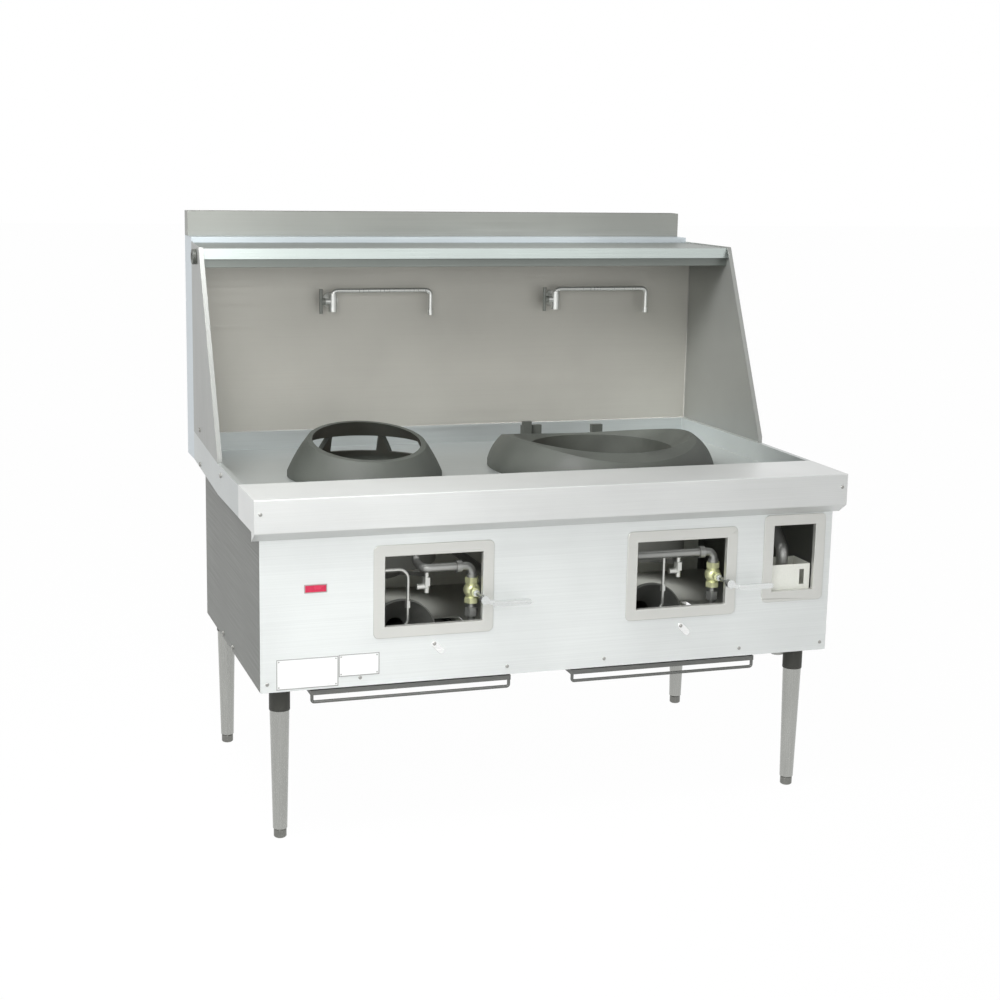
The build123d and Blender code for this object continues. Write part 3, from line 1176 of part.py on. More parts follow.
def all_pieces():
    """Every named sub-part in working axes."""
    pieces = {
        "frame_tubes": frame_tubes(),
        "front_panel": front_panel(),
        "service_trim": window_trim(SERVICE_X, SERVICE_BOTTOM, SERVICE_WIDTH),
        "side_panel_left": side_panel(-1),
        "side_panel_right": side_panel(1),
        "rear_panel": rear_panel(),
        "bottom_panel": bottom_panel(),
        "top_deck": top_deck(),
        "front_rail": front_rail(),
        "guard_left": guard_with_inlet(),
        "guard_right": guard(1),
        "backsplash_panel": backsplash_panel(),
        "pipe_shelf": pipe_shelf(),
        "flue_box": flue_box(),
        "flue_plenum": flue_plenum(),
        "flue_riser": flue_riser(),
        "wok_ring_left": small_ring(),
        "wok_ring_right": large_ring(),
        "gas_manifold": gas_manifold(),
        "pilot_valves": pilot_valves(),
        "water_pipe": water_pipe(),
        "water_inlet": water_inlet(),
        "leg_sockets": leg_sockets(),
        "legs": legs(),
        "tray_runners": tray_runners(),
        "badge_plate": front_plate(*BADGE),
        "rating_plates": Compound([front_plate(*LABEL), front_plate(*DATA_PLATE)]),
        "case_fasteners": Compound(panel_screws() + side_bolts() + cover_rivets()),
        "drain_box": drain_box(),
        "drain_pipe": drain_pipe(),
    }
    for side, name in enumerate(SIDES):
        pieces["window_trim_" + name] = window_trim(WINDOW_X[side], WINDOW_BOTTOM, WINDOW_WIDTH)
        pieces["fire_chamber_" + name] = fire_chamber(side)
        pieces["chamber_lining_" + name] = chamber_lining(side)
        pieces["burner_" + name] = burner(side)
        pieces["ball_valve_" + name] = ball_valve(side)
        pieces["valve_lever_" + name] = valve_lever(side)
        pieces["burner_supply_" + name] = burner_supply(side)
        pieces["pilot_tube_" + name] = pilot_tube(side)
        pieces["tap_body_" + name] = tap_body(side)
        pieces["spout_" + name] = spout(side)
        pieces["tap_handle_" + name] = tap_handle(side)
        pieces["drip_tray_" + name] = drip_tray(side)
        pieces["lighting_cover_" + name] = lighting_cover(side)
    for name, (x, y) in CORNERS.items():
        pieces["foot_" + name] = foot(x, y)
    return pieces


def bottom_centre(pieces):
    """The bottom centre of the whole range in working axes."""
    boxes = [piece.bounding_box() for piece in pieces.values()]
    middle = []
    for axis in ("X", "Y"):
        low = min(getattr(box.min, axis) for box in boxes)
        high = max(getattr(box.max, axis) for box in boxes)
        middle.append((low + high) / 2)
    return (middle[0], middle[1], min(box.min.Z for box in boxes))


def main():
    """Write one STEP file for each sub-part, with the origin at the bottom centre."""
    os.makedirs("parts", exist_ok=True)
    pieces = all_pieces()
    x, y, z = bottom_centre(pieces)
    for name, piece in pieces.items():
        export_step(Pos(-x, -y, -z) * piece, os.path.join("parts", name + ".step"))
    print("sub-parts:", len(pieces), "origin in working axes:", round(x, 3), round(y, 3), round(z, 3))


if __name__ == "__main__":
    main()
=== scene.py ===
"""The look of the free-standing gas wok range: its steel, castings, pipes, taps and small trim."""
import json
import math

import bmesh
import bpy
from mathutils import Matrix, Vector


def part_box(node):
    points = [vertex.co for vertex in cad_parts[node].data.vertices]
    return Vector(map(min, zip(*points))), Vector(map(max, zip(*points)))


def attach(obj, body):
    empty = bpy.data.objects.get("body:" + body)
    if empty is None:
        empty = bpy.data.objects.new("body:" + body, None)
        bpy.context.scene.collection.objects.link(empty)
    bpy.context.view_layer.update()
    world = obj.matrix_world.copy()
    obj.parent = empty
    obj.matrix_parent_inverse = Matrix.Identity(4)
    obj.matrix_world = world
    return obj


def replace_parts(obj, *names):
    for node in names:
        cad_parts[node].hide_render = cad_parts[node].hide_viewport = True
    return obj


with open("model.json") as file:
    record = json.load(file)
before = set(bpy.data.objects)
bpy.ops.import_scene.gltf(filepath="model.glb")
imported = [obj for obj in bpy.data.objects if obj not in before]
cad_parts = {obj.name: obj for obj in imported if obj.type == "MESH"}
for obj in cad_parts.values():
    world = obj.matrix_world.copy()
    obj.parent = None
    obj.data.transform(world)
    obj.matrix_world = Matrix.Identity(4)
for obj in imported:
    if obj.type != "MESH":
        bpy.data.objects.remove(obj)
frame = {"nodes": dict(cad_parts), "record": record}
nodes, record = frame["nodes"], frame["record"]
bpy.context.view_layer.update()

# ---- The room: a pale floor, white surroundings, soft lamps and the camera -----------------------
# A large matt floor carries the range and takes its shadow. The surroundings are plain white to
# the eye and a dimmer sky for light. The camera stands to the left at standing height, and soft
# lamps light the front, the top, the backsplash and the space behind the windows.
CAMERA_PLACE = Vector((-1.552, -4.629, 1.719))
CAMERA_YAW, CAMERA_PITCH, CAMERA_ROLL = 18.70, 11.41, 1.13
CAMERA_LENS, CAMERA_SENSOR = 64.62, 36
FLOOR_HALF = 30.0
FLOOR_SHADE, FLOOR_ROUGHNESS, FLOOR_GLOW = 0.88, 0.9, 0.985
SKY_STRENGTH = 0.42
WHITE = (1, 1, 1, 1)

yaw, pitch, roll = (math.radians(angle) for angle in (CAMERA_YAW, CAMERA_PITCH, CAMERA_ROLL))
ahead = Vector((math.sin(yaw) * math.cos(pitch), math.cos(yaw) * math.cos(pitch), -math.sin(pitch)))
level = Vector((math.cos(yaw), -math.sin(yaw), 0))
upward = level.cross(ahead)
right = level * math.cos(roll) + upward * math.sin(roll)
above = upward * math.cos(roll) - level * math.sin(roll)
facing = Matrix((right, above, -ahead)).transposed().to_4x4()
camera = bpy.data.objects.new("camera", bpy.data.cameras.new("camera"))
camera.data.sensor_width = CAMERA_SENSOR
camera.data.lens = CAMERA_LENS
camera.matrix_world = Matrix.Translation(CAMERA_PLACE) @ facing
bpy.context.scene.collection.objects.link(camera)
bpy.context.scene.camera = camera
bpy.context.scene.view_settings.view_transform = "Standard"


def new_material(name):
    """An empty procedural material, with its nodes, links and shader."""
    material = bpy.data.materials.new(name)
    material.use_nodes = True
    tree = material.node_tree
    return material, tree.nodes, tree.links, tree.nodes["Principled BSDF"]


def seen_directly(tree):
    """1 for rays that show the white surroundings: from the camera, a reflection or glass."""
    path = tree.nodes.new("ShaderNodeLightPath")
    total = path.outputs["Is Camera Ray"]
    for ray in ("Is Glossy Ray", "Is Transmission Ray"):
        join = tree.nodes.new("ShaderNodeMath")
        join.operation = "MAXIMUM"
        tree.links.new(total, join.inputs[0])
        tree.links.new(path.outputs[ray], join.inputs[1])
        total = join.outputs[0]
    return total


def times(tree, value, factor):
    """A value multiplied by a fixed factor."""
    step = tree.nodes.new("ShaderNodeMath")
    step.operation = "MULTIPLY"
    step.inputs[1].default_value = factor
    tree.links.new(value, step.inputs[0])
    return step.outputs[0]


world = bpy.data.worlds.new("room")
bpy.context.scene.world = world
world.use_nodes = True
sky = world.node_tree.nodes["Background"]
sky.inputs["Color"].default_value = WHITE
sky.inputs["Strength"].default_value = SKY_STRENGTH
white = world.node_tree.nodes.new("ShaderNodeBackground")
white.inputs["Color"].default_value = WHITE
either = world.node_tree.nodes.new("ShaderNodeMixShader")
world.node_tree.links.new(seen_directly(world.node_tree), either.inputs[0])
world.node_tree.links.new(sky.outputs[0], either.inputs[1])
world.node_tree.links.new(white.outputs[0], either.inputs[2])
world.node_tree.links.new(either.outputs[0], world.node_tree.nodes["World Output"].inputs[0])

floor_mesh = bpy.data.meshes.new("floor")
floor_corners = [(-FLOOR_HALF, -FLOOR_HALF, 0), (FLOOR_HALF, -FLOOR_HALF, 0),
                 (FLOOR_HALF, FLOOR_HALF, 0), (-FLOOR_HALF, FLOOR_HALF, 0)]
floor_mesh.from_pydata(floor_corners, [], [(0, 1, 2, 3)])
floor = bpy.data.objects.new("floor", floor_mesh)
bpy.context.scene.collection.objects.link(floor)
material, shading, links, shader = new_material("pale_floor")
shader.inputs["Base Color"].default_value = (FLOOR_SHADE, FLOOR_SHADE, FLOOR_SHADE, 1)
shader.inputs["Roughness"].default_value = FLOOR_ROUGHNESS
glow = shading.new("ShaderNodeEmission")
glow_share = times(material.node_tree, seen_directly(material.node_tree), FLOOR_GLOW)
blend = shading.new("ShaderNodeMixShader")
links.new(glow_share, blend.inputs[0])
links.new(shader.outputs[0], blend.inputs[1])
links.new(glow.outputs[0], blend.inputs[2])
links.new(blend.outputs[0], shading["Material Output"].inputs[0])
floor_mesh.materials.append(material)


def lamp(name, place, target, width, height, power, opening=180):
    """A soft rectangular lamp that faces a point, with its beam narrowed to an angle."""
    light = bpy.data.lights.new(name, "AREA")
    light.shape = "RECTANGLE"
    light.size = width
    light.size_y = height
    light.energy = power
    light.spread = math.radians(opening)
    aim = Vector(target) - Vector(place)
    lamp_object = bpy.data.objects.new(name, light)
    lamp_object.location = place
    lamp_object.rotation_euler = aim.to_track_quat("-Z", "Y").to_euler()
    lamp_object.visible_camera = False
    bpy.context.scene.collection.objects.link(lamp_object)


lamp("front_lamp", (-1.3, -1.95, 1.75), (-0.5, -0.45, 0.8), width=1.0, height=0.9, power=21)
lamp("low_lamp", (-0.4, -5.8, 1.2), (0.1, 0.0, 0.9), width=2.4, height=1.4, power=25)
lamp("hood_lamp", (-0.35, -0.25, 2.05), (0.6, 0.35, 1.1), width=0.6, height=0.6, power=3.6,
     opening=50)
lamp("top_lamp", (-1.25, -1.0, 3.0), (-0.45, -0.2, 0.8), width=1.4, height=1.2, power=31,
     opening=100)
lamp("inside_lamp", (0.0, -0.46, 0.76), (0.0, 0.1, 0.5), width=1.3, height=0.06, power=0.5)

# ---- Steel legs: sockets, tapered legs and levelling feet ----------------------------------------
# Each leg is a drawn tube of polished steel that narrows to its foot, held in a dark sleeve whose
# plate is welded under the frame. The foot is a turned plug on a screw that levels the range.
SCRATCH_STRETCH, SCRATCH_FINENESS, SCRATCH_DETAIL = 3, 420, 4
NOISE_LOW, NOISE_HIGH = 0.3, 0.7


def grain(tree, along):
    """Fine scratches that run along one axis: coordinates squeezed to lines, then noise."""
    coordinates = tree.nodes.new("ShaderNodeTexCoord")
    squeeze = tree.nodes.new("ShaderNodeMapping")
    squeeze.inputs["Scale"].default_value = [
        SCRATCH_STRETCH if axis == along else SCRATCH_FINENESS for axis in "XYZ"]
    lines = tree.nodes.new("ShaderNodeTexNoise")
    lines.inputs["Scale"].default_value = 1
    lines.inputs["Detail"].default_value = SCRATCH_DETAIL
    tree.links.new(coordinates.outputs["Object"], squeeze.inputs["Vector"])
    tree.links.new(squeeze.outputs[0], lines.inputs["Vector"])
    return lines.outputs["Fac"], coordinates.outputs["Object"]


def spread(tree, value, low, high):
    """A noise value, which stays near the middle, spread over a range and held at its ends."""
    reach = tree.nodes.new("ShaderNodeMapRange")
    reach.inputs["From Min"].default_value = NOISE_LOW
    reach.inputs["From Max"].default_value = NOISE_HIGH
    reach.inputs["To Min"].default_value = low
    reach.inputs["To Max"].default_value = high
    tree.links.new(value, reach.inputs["Value"])
    return reach.outputs[0]


def tinted(tree, base, factor):
    """A colour made lighter or darker by a factor."""
    colour = tree.nodes.new("ShaderNodeVectorMath")
    colour.operation = "SCALE"
    colour.inputs[0].default_value = base
    tree.links.new(factor, colour.inputs["Scale"])
    return colour.outputs[0]


def product(tree, first, second):
    """Two values multiplied."""
    join = tree.nodes.new("ShaderNodeMath")
    join.operation = "MULTIPLY"
    tree.links.new(first, join.inputs[0])
    tree.links.new(second, join.inputs[1])
    return join.outputs[0]


def bumped(tree, shader, height, strength, distance):
    """Surface relief from a height value."""
    bump = tree.nodes.new("ShaderNodeBump")
    bump.inputs["Strength"].default_value = strength
    bump.inputs["Distance"].default_value = distance
    tree.links.new(height, bump.inputs["Height"])
    tree.links.new(bump.outputs[0], shader.inputs["Normal"])


CLOUD_SCALE, CLOUD_DETAIL = 3.2, 3
SCRATCH_DEPTH = 0.0002


def brushed_steel(name, colour, along, roughness=0.38, metallic=0.75, smudge=0.05, scratch=0.035,
                  relief=0.10, sheen=0.07):
    """Steel brushed along one axis, with faint cloudy smudges from wiping."""
    material, shading, links, shader = new_material(name)
    tree = material.node_tree
    lines, place = grain(tree, along)
    clouds = shading.new("ShaderNodeTexNoise")
    clouds.inputs["Scale"].default_value = CLOUD_SCALE
    clouds.inputs["Detail"].default_value = CLOUD_DETAIL
    links.new(place, clouds.inputs["Vector"])
    fine = spread(tree, lines, 1 - scratch, 1 + scratch)
    broad = spread(tree, clouds.outputs["Fac"], 1 - smudge, 1 + smudge)
    gloss = spread(tree, lines, roughness - sheen, roughness + sheen)
    links.new(tinted(tree, colour, product(tree, fine, broad)), shader.inputs["Base Color"])
    links.new(gloss, shader.inputs["Roughness"])
    shader.inputs["Metallic"].default_value = metallic
    bumped(tree, shader, lines, relief, SCRATCH_DEPTH)
    return material


PEEL_SCALE, PEEL_STRENGTH, PEEL_DEPTH = 500, 0.2, 0.0002
TONE_SCALE, TONE_DETAIL = 14, 4
PAINT_GLOSS_CHANGE = 0.08


def painted(name, colour, roughness=0.45, speckle=0.06):
    """A coat of paint with a faint orange-peel skin and slight changes of tone."""
    material, shading, links, shader = new_material(name)
    tree = material.node_tree
    place = shading.new("ShaderNodeTexCoord").outputs["Object"]
    peel = shading.new("ShaderNodeTexNoise")
    peel.inputs["Scale"].default_value = PEEL_SCALE
    tone = shading.new("ShaderNodeTexNoise")
    tone.inputs["Scale"].default_value = TONE_SCALE
    tone.inputs["Detail"].default_value = TONE_DETAIL
    links.new(place, peel.inputs["Vector"])
    links.new(place, tone.inputs["Vector"])
    shade = spread(tree, tone.outputs["Fac"], 1 - speckle, 1 + speckle)
    gloss = spread(tree, tone.outputs["Fac"], roughness - PAINT_GLOSS_CHANGE,
                   roughness + PAINT_GLOSS_CHANGE)
    links.new(tinted(tree, colour, shade), shader.inputs["Base Color"])
    links.new(gloss, shader.inputs["Roughness"])
    bumped(tree, shader, peel.outputs["Fac"], PEEL_STRENGTH, PEEL_DEPTH)
    return material


def finish_nodes(material, *names):
    """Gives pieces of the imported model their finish."""
    for name in names:
        for place in nodes[name].material_slots:
            place.material = material


def carrier(name):
    """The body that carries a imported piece."""
    return next(body for body, parts in record["behaviour"]["bodies"].items() if name in parts)


MERGE_GAP = 0.00001
FLAT_ANGLE, SHARP_ANGLE = 0.6, 32


def eased(material, radius, *names, steps=2, share=None):
    """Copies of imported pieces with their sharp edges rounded, as pressed or cast metal has them."""
    for name in names:
        shape = bmesh.new()
        shape.from_mesh(nodes[name].data)
        bmesh.ops.remove_doubles(shape, verts=shape.verts, dist=MERGE_GAP)
        bmesh.ops.dissolve_limit(shape, angle_limit=math.radians(FLAT_ANGLE), verts=shape.verts,
                                 edges=shape.edges)
        weight = shape.edges.layers.float.new("bevel_weight_edge")
        for edge in shape.edges:
            sharp = edge.is_manifold and edge.calc_face_angle(0) > math.radians(SHARP_ANGLE)
            edge[weight] = (share(edge) if share else 1.0) if sharp else 0.0
            edge.smooth = True
        for face in shape.faces:
            face.smooth = True
        mesh = bpy.data.meshes.new(name + "_skin")
        shape.to_mesh(mesh)
        shape.free()
        if "custom_normal" in mesh.attributes:
            mesh.attributes.remove(mesh.attributes["custom_normal"])
        mesh.materials.clear()
        mesh.materials.append(material)
        for face in mesh.polygons:
            face.material_index = 0
        piece = bpy.data.objects.new(name + "_skin", mesh)
        bpy.context.scene.collection.objects.link(piece)
        edges = piece.modifiers.new("rounded_edges", "BEVEL")
        edges.width = radius
        edges.segments = steps
        edges.limit_method = "WEIGHT"
        edges.harden_normals = True
        finish_nodes(material, name)
        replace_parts(piece, name)
        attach(piece, carrier(name))


SOCKET_EASE, FOOT_EASE = 0.0015, 0.001
FEET = ("foot_front_left", "foot_front_right", "foot_rear_left", "foot_rear_right")
eased(painted("socket_paint", (0.034, 0.035, 0.028), roughness=0.6), SOCKET_EASE, "leg_sockets")
leg_steel = brushed_steel("leg_steel", (0.39, 0.395, 0.375), "Z", roughness=0.26, metallic=0.95,
                          smudge=0.05, scratch=0.06)
finish_nodes(leg_steel, "legs")
foot_steel = brushed_steel("foot_steel", (0.205, 0.206, 0.192), "Z", roughness=0.35, metallic=0.9,
                           smudge=0.1, scratch=0.1)
eased(foot_steel, FOOT_EASE, *FEET)

# The thread on each foot's screw, as a ridge that winds up it.
THREAD_PITCH, THREAD_DEPTH, THREAD_TURNS = 0.002, 0.0007, 22
THREAD_START, THREAD_CORE = 0.026, 0.0079
TURN_STEPS, RIDGE_SIDES = 20, 4


def geometry_tree(name, *sizes):
    """An empty Geometry Nodes tree with its named sizes, a material input and a geometry output."""
    tree = bpy.data.node_groups.new(name, "GeometryNodeTree")
    tree.interface.new_socket("Geometry", in_out="INPUT", socket_type="NodeSocketGeometry")
    for size in sizes:
        tree.interface.new_socket(size, in_out="INPUT", socket_type="NodeSocketFloat")
    tree.interface.new_socket("Metal", in_out="INPUT", socket_type="NodeSocketMaterial")
    tree.interface.new_socket("Geometry", in_out="OUTPUT", socket_type="NodeSocketGeometry")
    return tree, tree.nodes.new("NodeGroupInput"), tree.nodes.new("NodeGroupOutput")


def closed_tree(tree, given, result, geometry):
    """Ends a tree: real geometry in place of instances, and the metal set on it."""
    real = tree.nodes.new("GeometryNodeRealizeInstances")
    metal = tree.nodes.new("GeometryNodeSetMaterial")
    tree.links.new(geometry, real.inputs[0])
    tree.links.new(real.outputs[0], metal.inputs["Geometry"])
    tree.links.new(given.outputs["Metal"], metal.inputs["Material"])
    tree.links.new(metal.outputs[0], result.inputs[0])


def grown(name, base, tree, metal, sizes):
    """The plain mesh that a tree makes on a base mesh with the sizes given."""
    source = bpy.data.objects.new(name + "_base", base)
    bpy.context.scene.collection.objects.link(source)
    maker = source.modifiers.new(name, "NODES")
    maker.node_group = tree
    for socket in tree.interface.items_tree:
        if socket.in_out == "INPUT" and socket.name in sizes:
            maker[socket.identifier] = sizes[socket.name]
        if socket.in_out == "INPUT" and socket.name == "Metal":
            maker[socket.identifier] = metal
    bpy.context.view_layer.update()
    ready = source.evaluated_get(bpy.context.evaluated_depsgraph_get())
    mesh = bpy.data.meshes.new_from_object(ready)
    mesh.name = name
    bpy.data.objects.remove(source)
    return mesh


def added(name, mesh, body):
    """A finished piece of detail that rides on a body."""
    piece = bpy.data.objects.new(name, mesh)
    bpy.context.scene.collection.objects.link(piece)
    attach(piece, body)
    return piece


def plain_points(name, places, turns=None):
    """A mesh of loose points, each with the turn of what stands on it."""
    mesh = bpy.data.meshes.new(name)
    mesh.from_pydata([tuple(place) for place in places], [], [])
    turn = mesh.attributes.new("turn", "FLOAT_VECTOR", "POINT")
    for i in range(len(places)):
        turn.data[i].vector = turns[i] if turns else (0, 0, 0)
    return mesh


tree, given, result = geometry_tree("screw_thread", "Core Radius", "Pitch", "Turns", "Ridge")
rise = product(tree, given.outputs["Pitch"], given.outputs["Turns"])
winding = tree.nodes.new("GeometryNodeCurveSpiral")
winding.inputs["Resolution"].default_value = TURN_STEPS
tree.links.new(given.outputs["Turns"], winding.inputs["Rotations"])
tree.links.new(given.outputs["Core Radius"], winding.inputs["Start Radius"])
tree.links.new(given.outputs["Core Radius"], winding.inputs["End Radius"])
tree.links.new(rise, winding.inputs["Height"])
section = tree.nodes.new("GeometryNodeCurvePrimitiveCircle")
section.inputs["Resolution"].default_value = RIDGE_SIDES
tree.links.new(given.outputs["Ridge"], section.inputs["Radius"])
ridge = tree.nodes.new("GeometryNodeCurveToMesh")
ridge.inputs["Fill Caps"].default_value = True
tree.links.new(winding.outputs[0], ridge.inputs["Curve"])
tree.links.new(section.outputs[0], ridge.inputs["Profile Curve"])
stand = tree.nodes.new("GeometryNodeInstanceOnPoints")
tree.links.new(given.outputs["Geometry"], stand.inputs["Points"])
tree.links.new(ridge.outputs[0], stand.inputs["Instance"])
closed_tree(tree, given, result, stand.outputs[0])
thread_sizes = {"Core Radius": THREAD_CORE, "Pitch": THREAD_PITCH, "Turns": THREAD_TURNS,
                "Ridge": THREAD_DEPTH}
for name in FEET:
    low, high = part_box(name)
    middle = (low + high) / 2
    base = plain_points(name + "_points", [(middle.x, middle.y, low.z + THREAD_START)])
    thread = grown(name + "_thread", base, tree, foot_steel, thread_sizes)
    added(name + "_thread", thread, carrier(name))

# ---- Cabinet: welded frame, front panel, side panels, bottom and rear panel ----------------------
# The frame is square tube, welded and painted dark. The panels are folded stainless sheet,
# screwed to the frame, and brushed along their length.
SHEET_EASE = 0.0007
# The frame's dark paint is coloured lighter than its own: painted light for the shaded inside of the
# cabinet.
finish_nodes(painted("frame_paint_with_painted_light", (0.15, 0.152, 0.138)), "frame_tubes")
front_sheet = brushed_steel("front_sheet", (0.68, 0.705, 0.695), "X", roughness=0.42, metallic=0.45)
eased(front_sheet, SHEET_EASE, "front_panel")
# The side panels are the front's stainless steel with a far darker colour: painted shade for the
# sides that face away from the light.
painted_shade_side_sheet = brushed_steel("painted_shade_side_sheet", (0.15, 0.156, 0.144), "Y", roughness=0.45, metallic=0.6)
eased(painted_shade_side_sheet, SHEET_EASE, "side_panel_left", "side_panel_right")
# The rear panel and the bottom are their steel coloured lighter than it is: painted light for the
# shaded inside of the cabinet.
rear_sheet_with_painted_light = brushed_steel("rear_sheet_with_painted_light", (0.72, 0.74, 0.67), "X", roughness=0.5, metallic=0.1)
finish_nodes(rear_sheet_with_painted_light, "rear_panel")
bottom_sheet_with_painted_light = brushed_steel("bottom_sheet_with_painted_light", (0.44, 0.45, 0.41), "X", roughness=0.7, metallic=0.1)
finish_nodes(bottom_sheet_with_painted_light, "bottom_panel")

# ---- Window trims: a raised frame round each burner window and the service window ----------------
# Each trim is pressed from one piece of polished steel, with rounded corners and a lip that
# turns in through the panel, and it is spot-welded to the panel.
TRIM_EASE = 0.0024
TRIM_FACE_DEPTH, LIP_SHARE = 0.0004, 0.3
trim_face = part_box("service_trim")[0].y


def trim_share(edge):
    """Full rounding on a trim's face, and little on its thin lip."""
    on_face = all(vertex.co.y < trim_face + TRIM_FACE_DEPTH for vertex in edge.verts)
    return 1.0 if on_face else LIP_SHARE


trim_steel = brushed_steel("trim_steel", (0.60, 0.605, 0.575), "X", roughness=0.34, metallic=0.6,
                           smudge=0.03, scratch=0.01, relief=0.02, sheen=0.01)
eased(trim_steel, TRIM_EASE, "window_trim_left", "window_trim_right", "service_trim", steps=3,
      share=trim_share)

# ---- Top: recessed deck and front rail -----------------------------------------------------------
# The deck is a shallow welded pan with a raised rim, which holds the water. The rail in front
# of it is one folded box of bright steel, with its ends welded in and ground.
RAIL_EASE = 0.0035
RAIL_FRONT_DEPTH, LONG_FOLD, END_SHARE = 0.0005, 0.3, 0.2
rail_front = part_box("front_rail")[0].y


def rail_share(edge):
    """Full rounding on the rail's long front folds, and little on its ends."""
    middle = (edge.verts[0].co + edge.verts[1].co) / 2
    in_front = abs(middle.y - rail_front) < RAIL_FRONT_DEPTH
    return 1.0 if in_front and edge.calc_length() > LONG_FOLD else END_SHARE


deck_sheet = brushed_steel("deck_sheet", (0.43, 0.455, 0.45), "X", roughness=0.35, metallic=0.7)
eased(deck_sheet, SHEET_EASE, "top_deck")
rail_sheet = brushed_steel("rail_sheet", (0.60, 0.612, 0.602), "X", roughness=0.38, metallic=0.5)
eased(rail_sheet, RAIL_EASE, "front_rail", steps=4, share=rail_share)

# ---- Splash guards, backsplash, pipe shelf and flue ----------------------------------------------
# The guards and the backsplash are single steel sheets, welded where they meet. The shelf is a
# stepped fold over the water pipe, and the flue's riser stands behind it.
SHELF_BAND, FRONT_TURN = 0.031, -0.9
# The guards are the same steel as the front panel with a darker colour: painted shade on their dim
# side faces.
painted_shade_guard_sheet = brushed_steel("painted_shade_guard_sheet", (0.29, 0.298, 0.284), "Z", roughness=0.4, metallic=0.75)
eased(painted_shade_guard_sheet, SHEET_EASE, "guard_left", "guard_right")
splash_sheet = brushed_steel("splash_sheet", (0.385, 0.378, 0.343), "X", roughness=0.5, metallic=0.6)
finish_nodes(splash_sheet, "backsplash_panel")
# A brighter copy of the shelf's steel: the painted highlight on its front face.
painted_highlight_shelf_face = brushed_steel("painted_highlight_shelf_face", (0.47, 0.52, 0.50), "X", roughness=0.32, metallic=0.85)
eased(painted_highlight_shelf_face, SHEET_EASE, "pipe_shelf")

# The shelf is one sheet, coloured by the way each face looks: the upper step of its front has a
# painted highlight, and the rest of it painted shade.
painted_shade_shelf_sheet = brushed_steel("painted_shade_shelf_sheet", (0.175, 0.192, 0.178), "X", roughness=0.4, metallic=0.8)
shelf_skin = bpy.data.objects["pipe_shelf_skin"].data
shelf_skin.materials.append(painted_shade_shelf_sheet)
shelf_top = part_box("pipe_shelf")[1].z
for face in shelf_skin.polygons:
    painted_highlight_face = face.normal.y < FRONT_TURN and face.center.z > shelf_top - SHELF_BAND
    face.material_index = 0 if painted_highlight_face else 1

riser_sheet = brushed_steel("riser_sheet", (0.27, 0.278, 0.258), "X", roughness=0.4, metallic=0.75)
eased(riser_sheet, SHEET_EASE, "flue_riser")
flue_sheet = brushed_steel("flue_sheet", (0.53, 0.58, 0.61), "X", roughness=0.4, metallic=0.75)
eased(flue_sheet, SHEET_EASE, "flue_box")
plenum_sheet = brushed_steel("plenum_sheet", (0.38, 0.38, 0.37), "X", roughness=0.55, metallic=0.6)
finish_nodes(plenum_sheet, "flue_plenum")

# The weld that joins the backsplash to each guard and to the deck's rim, bead by bead.
WELD_BEAD, WELD_PITCH = 0.0019, 0.0026
WELD_INSET, WELD_TOP_GAP = 0.001, 0.03
BEAD_ROUNDNESS = 2
tree, given, result = geometry_tree("weld_seam", "Bead Radius", "Pitch")
seam = tree.nodes.new("GeometryNodeMeshToCurve")
even = tree.nodes.new("GeometryNodeResampleCurve")
even.mode = "LENGTH"
bead = tree.nodes.new("GeometryNodeMeshIcoSphere")
bead.inputs["Subdivisions"].default_value = BEAD_ROUNDNESS
rounded = tree.nodes.new("GeometryNodeSetShadeSmooth")
laid = tree.nodes.new("GeometryNodeInstanceOnPoints")
tree.links.new(given.outputs["Geometry"], seam.inputs["Mesh"])
tree.links.new(seam.outputs[0], even.inputs["Curve"])
tree.links.new(given.outputs["Pitch"], even.inputs["Length"])
tree.links.new(given.outputs["Bead Radius"], bead.inputs["Radius"])
tree.links.new(bead.outputs["Mesh"], rounded.inputs[0])
tree.links.new(even.outputs[0], laid.inputs["Points"])
tree.links.new(rounded.outputs[0], laid.inputs["Instance"])
closed_tree(tree, given, result, laid.outputs[0])
splash_low, splash_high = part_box("backsplash_panel")
weld_left = splash_low.x + WELD_INSET
weld_right = splash_high.x - WELD_INSET
weld_top = splash_high.z - WELD_TOP_GAP
seam_corners = [(weld_left, splash_low.y, weld_top), (weld_left, splash_low.y, splash_low.z),
                (weld_right, splash_low.y, splash_low.z), (weld_right, splash_low.y, weld_top)]
seam_lines = bpy.data.meshes.new("weld_lines")
seam_lines.from_pydata(seam_corners, [(0, 1), (1, 2), (2, 3)], [])
weld_metal = brushed_steel("weld_metal", (0.36, 0.35, 0.33), "X", roughness=0.45, metallic=0.8,
                           smudge=0.2)
weld = grown("splash_weld", seam_lines, tree, weld_metal,
             {"Bead Radius": WELD_BEAD, "Pitch": WELD_PITCH})
added("splash_weld", weld, "range_body")

# ---- Fire: drums, linings and burners ------------------------------------------------------------
# A painted steel drum hangs under each wok hole, lined with a ring of pressed firebrick. The
# burner hung below it is one iron casting: a disc of jets on three arms, and a venturi.
SAND_DETAIL, SAND_CHANGE, SAND_DEPTH = 3, 0.1, 0.0006
STAIN_SCALE, STAIN_DETAIL, STAIN_CHANGE = 9, 5, 0.2
CAST_GLOSS_CHANGE = 0.1
BURNER_EASE = 0.0012


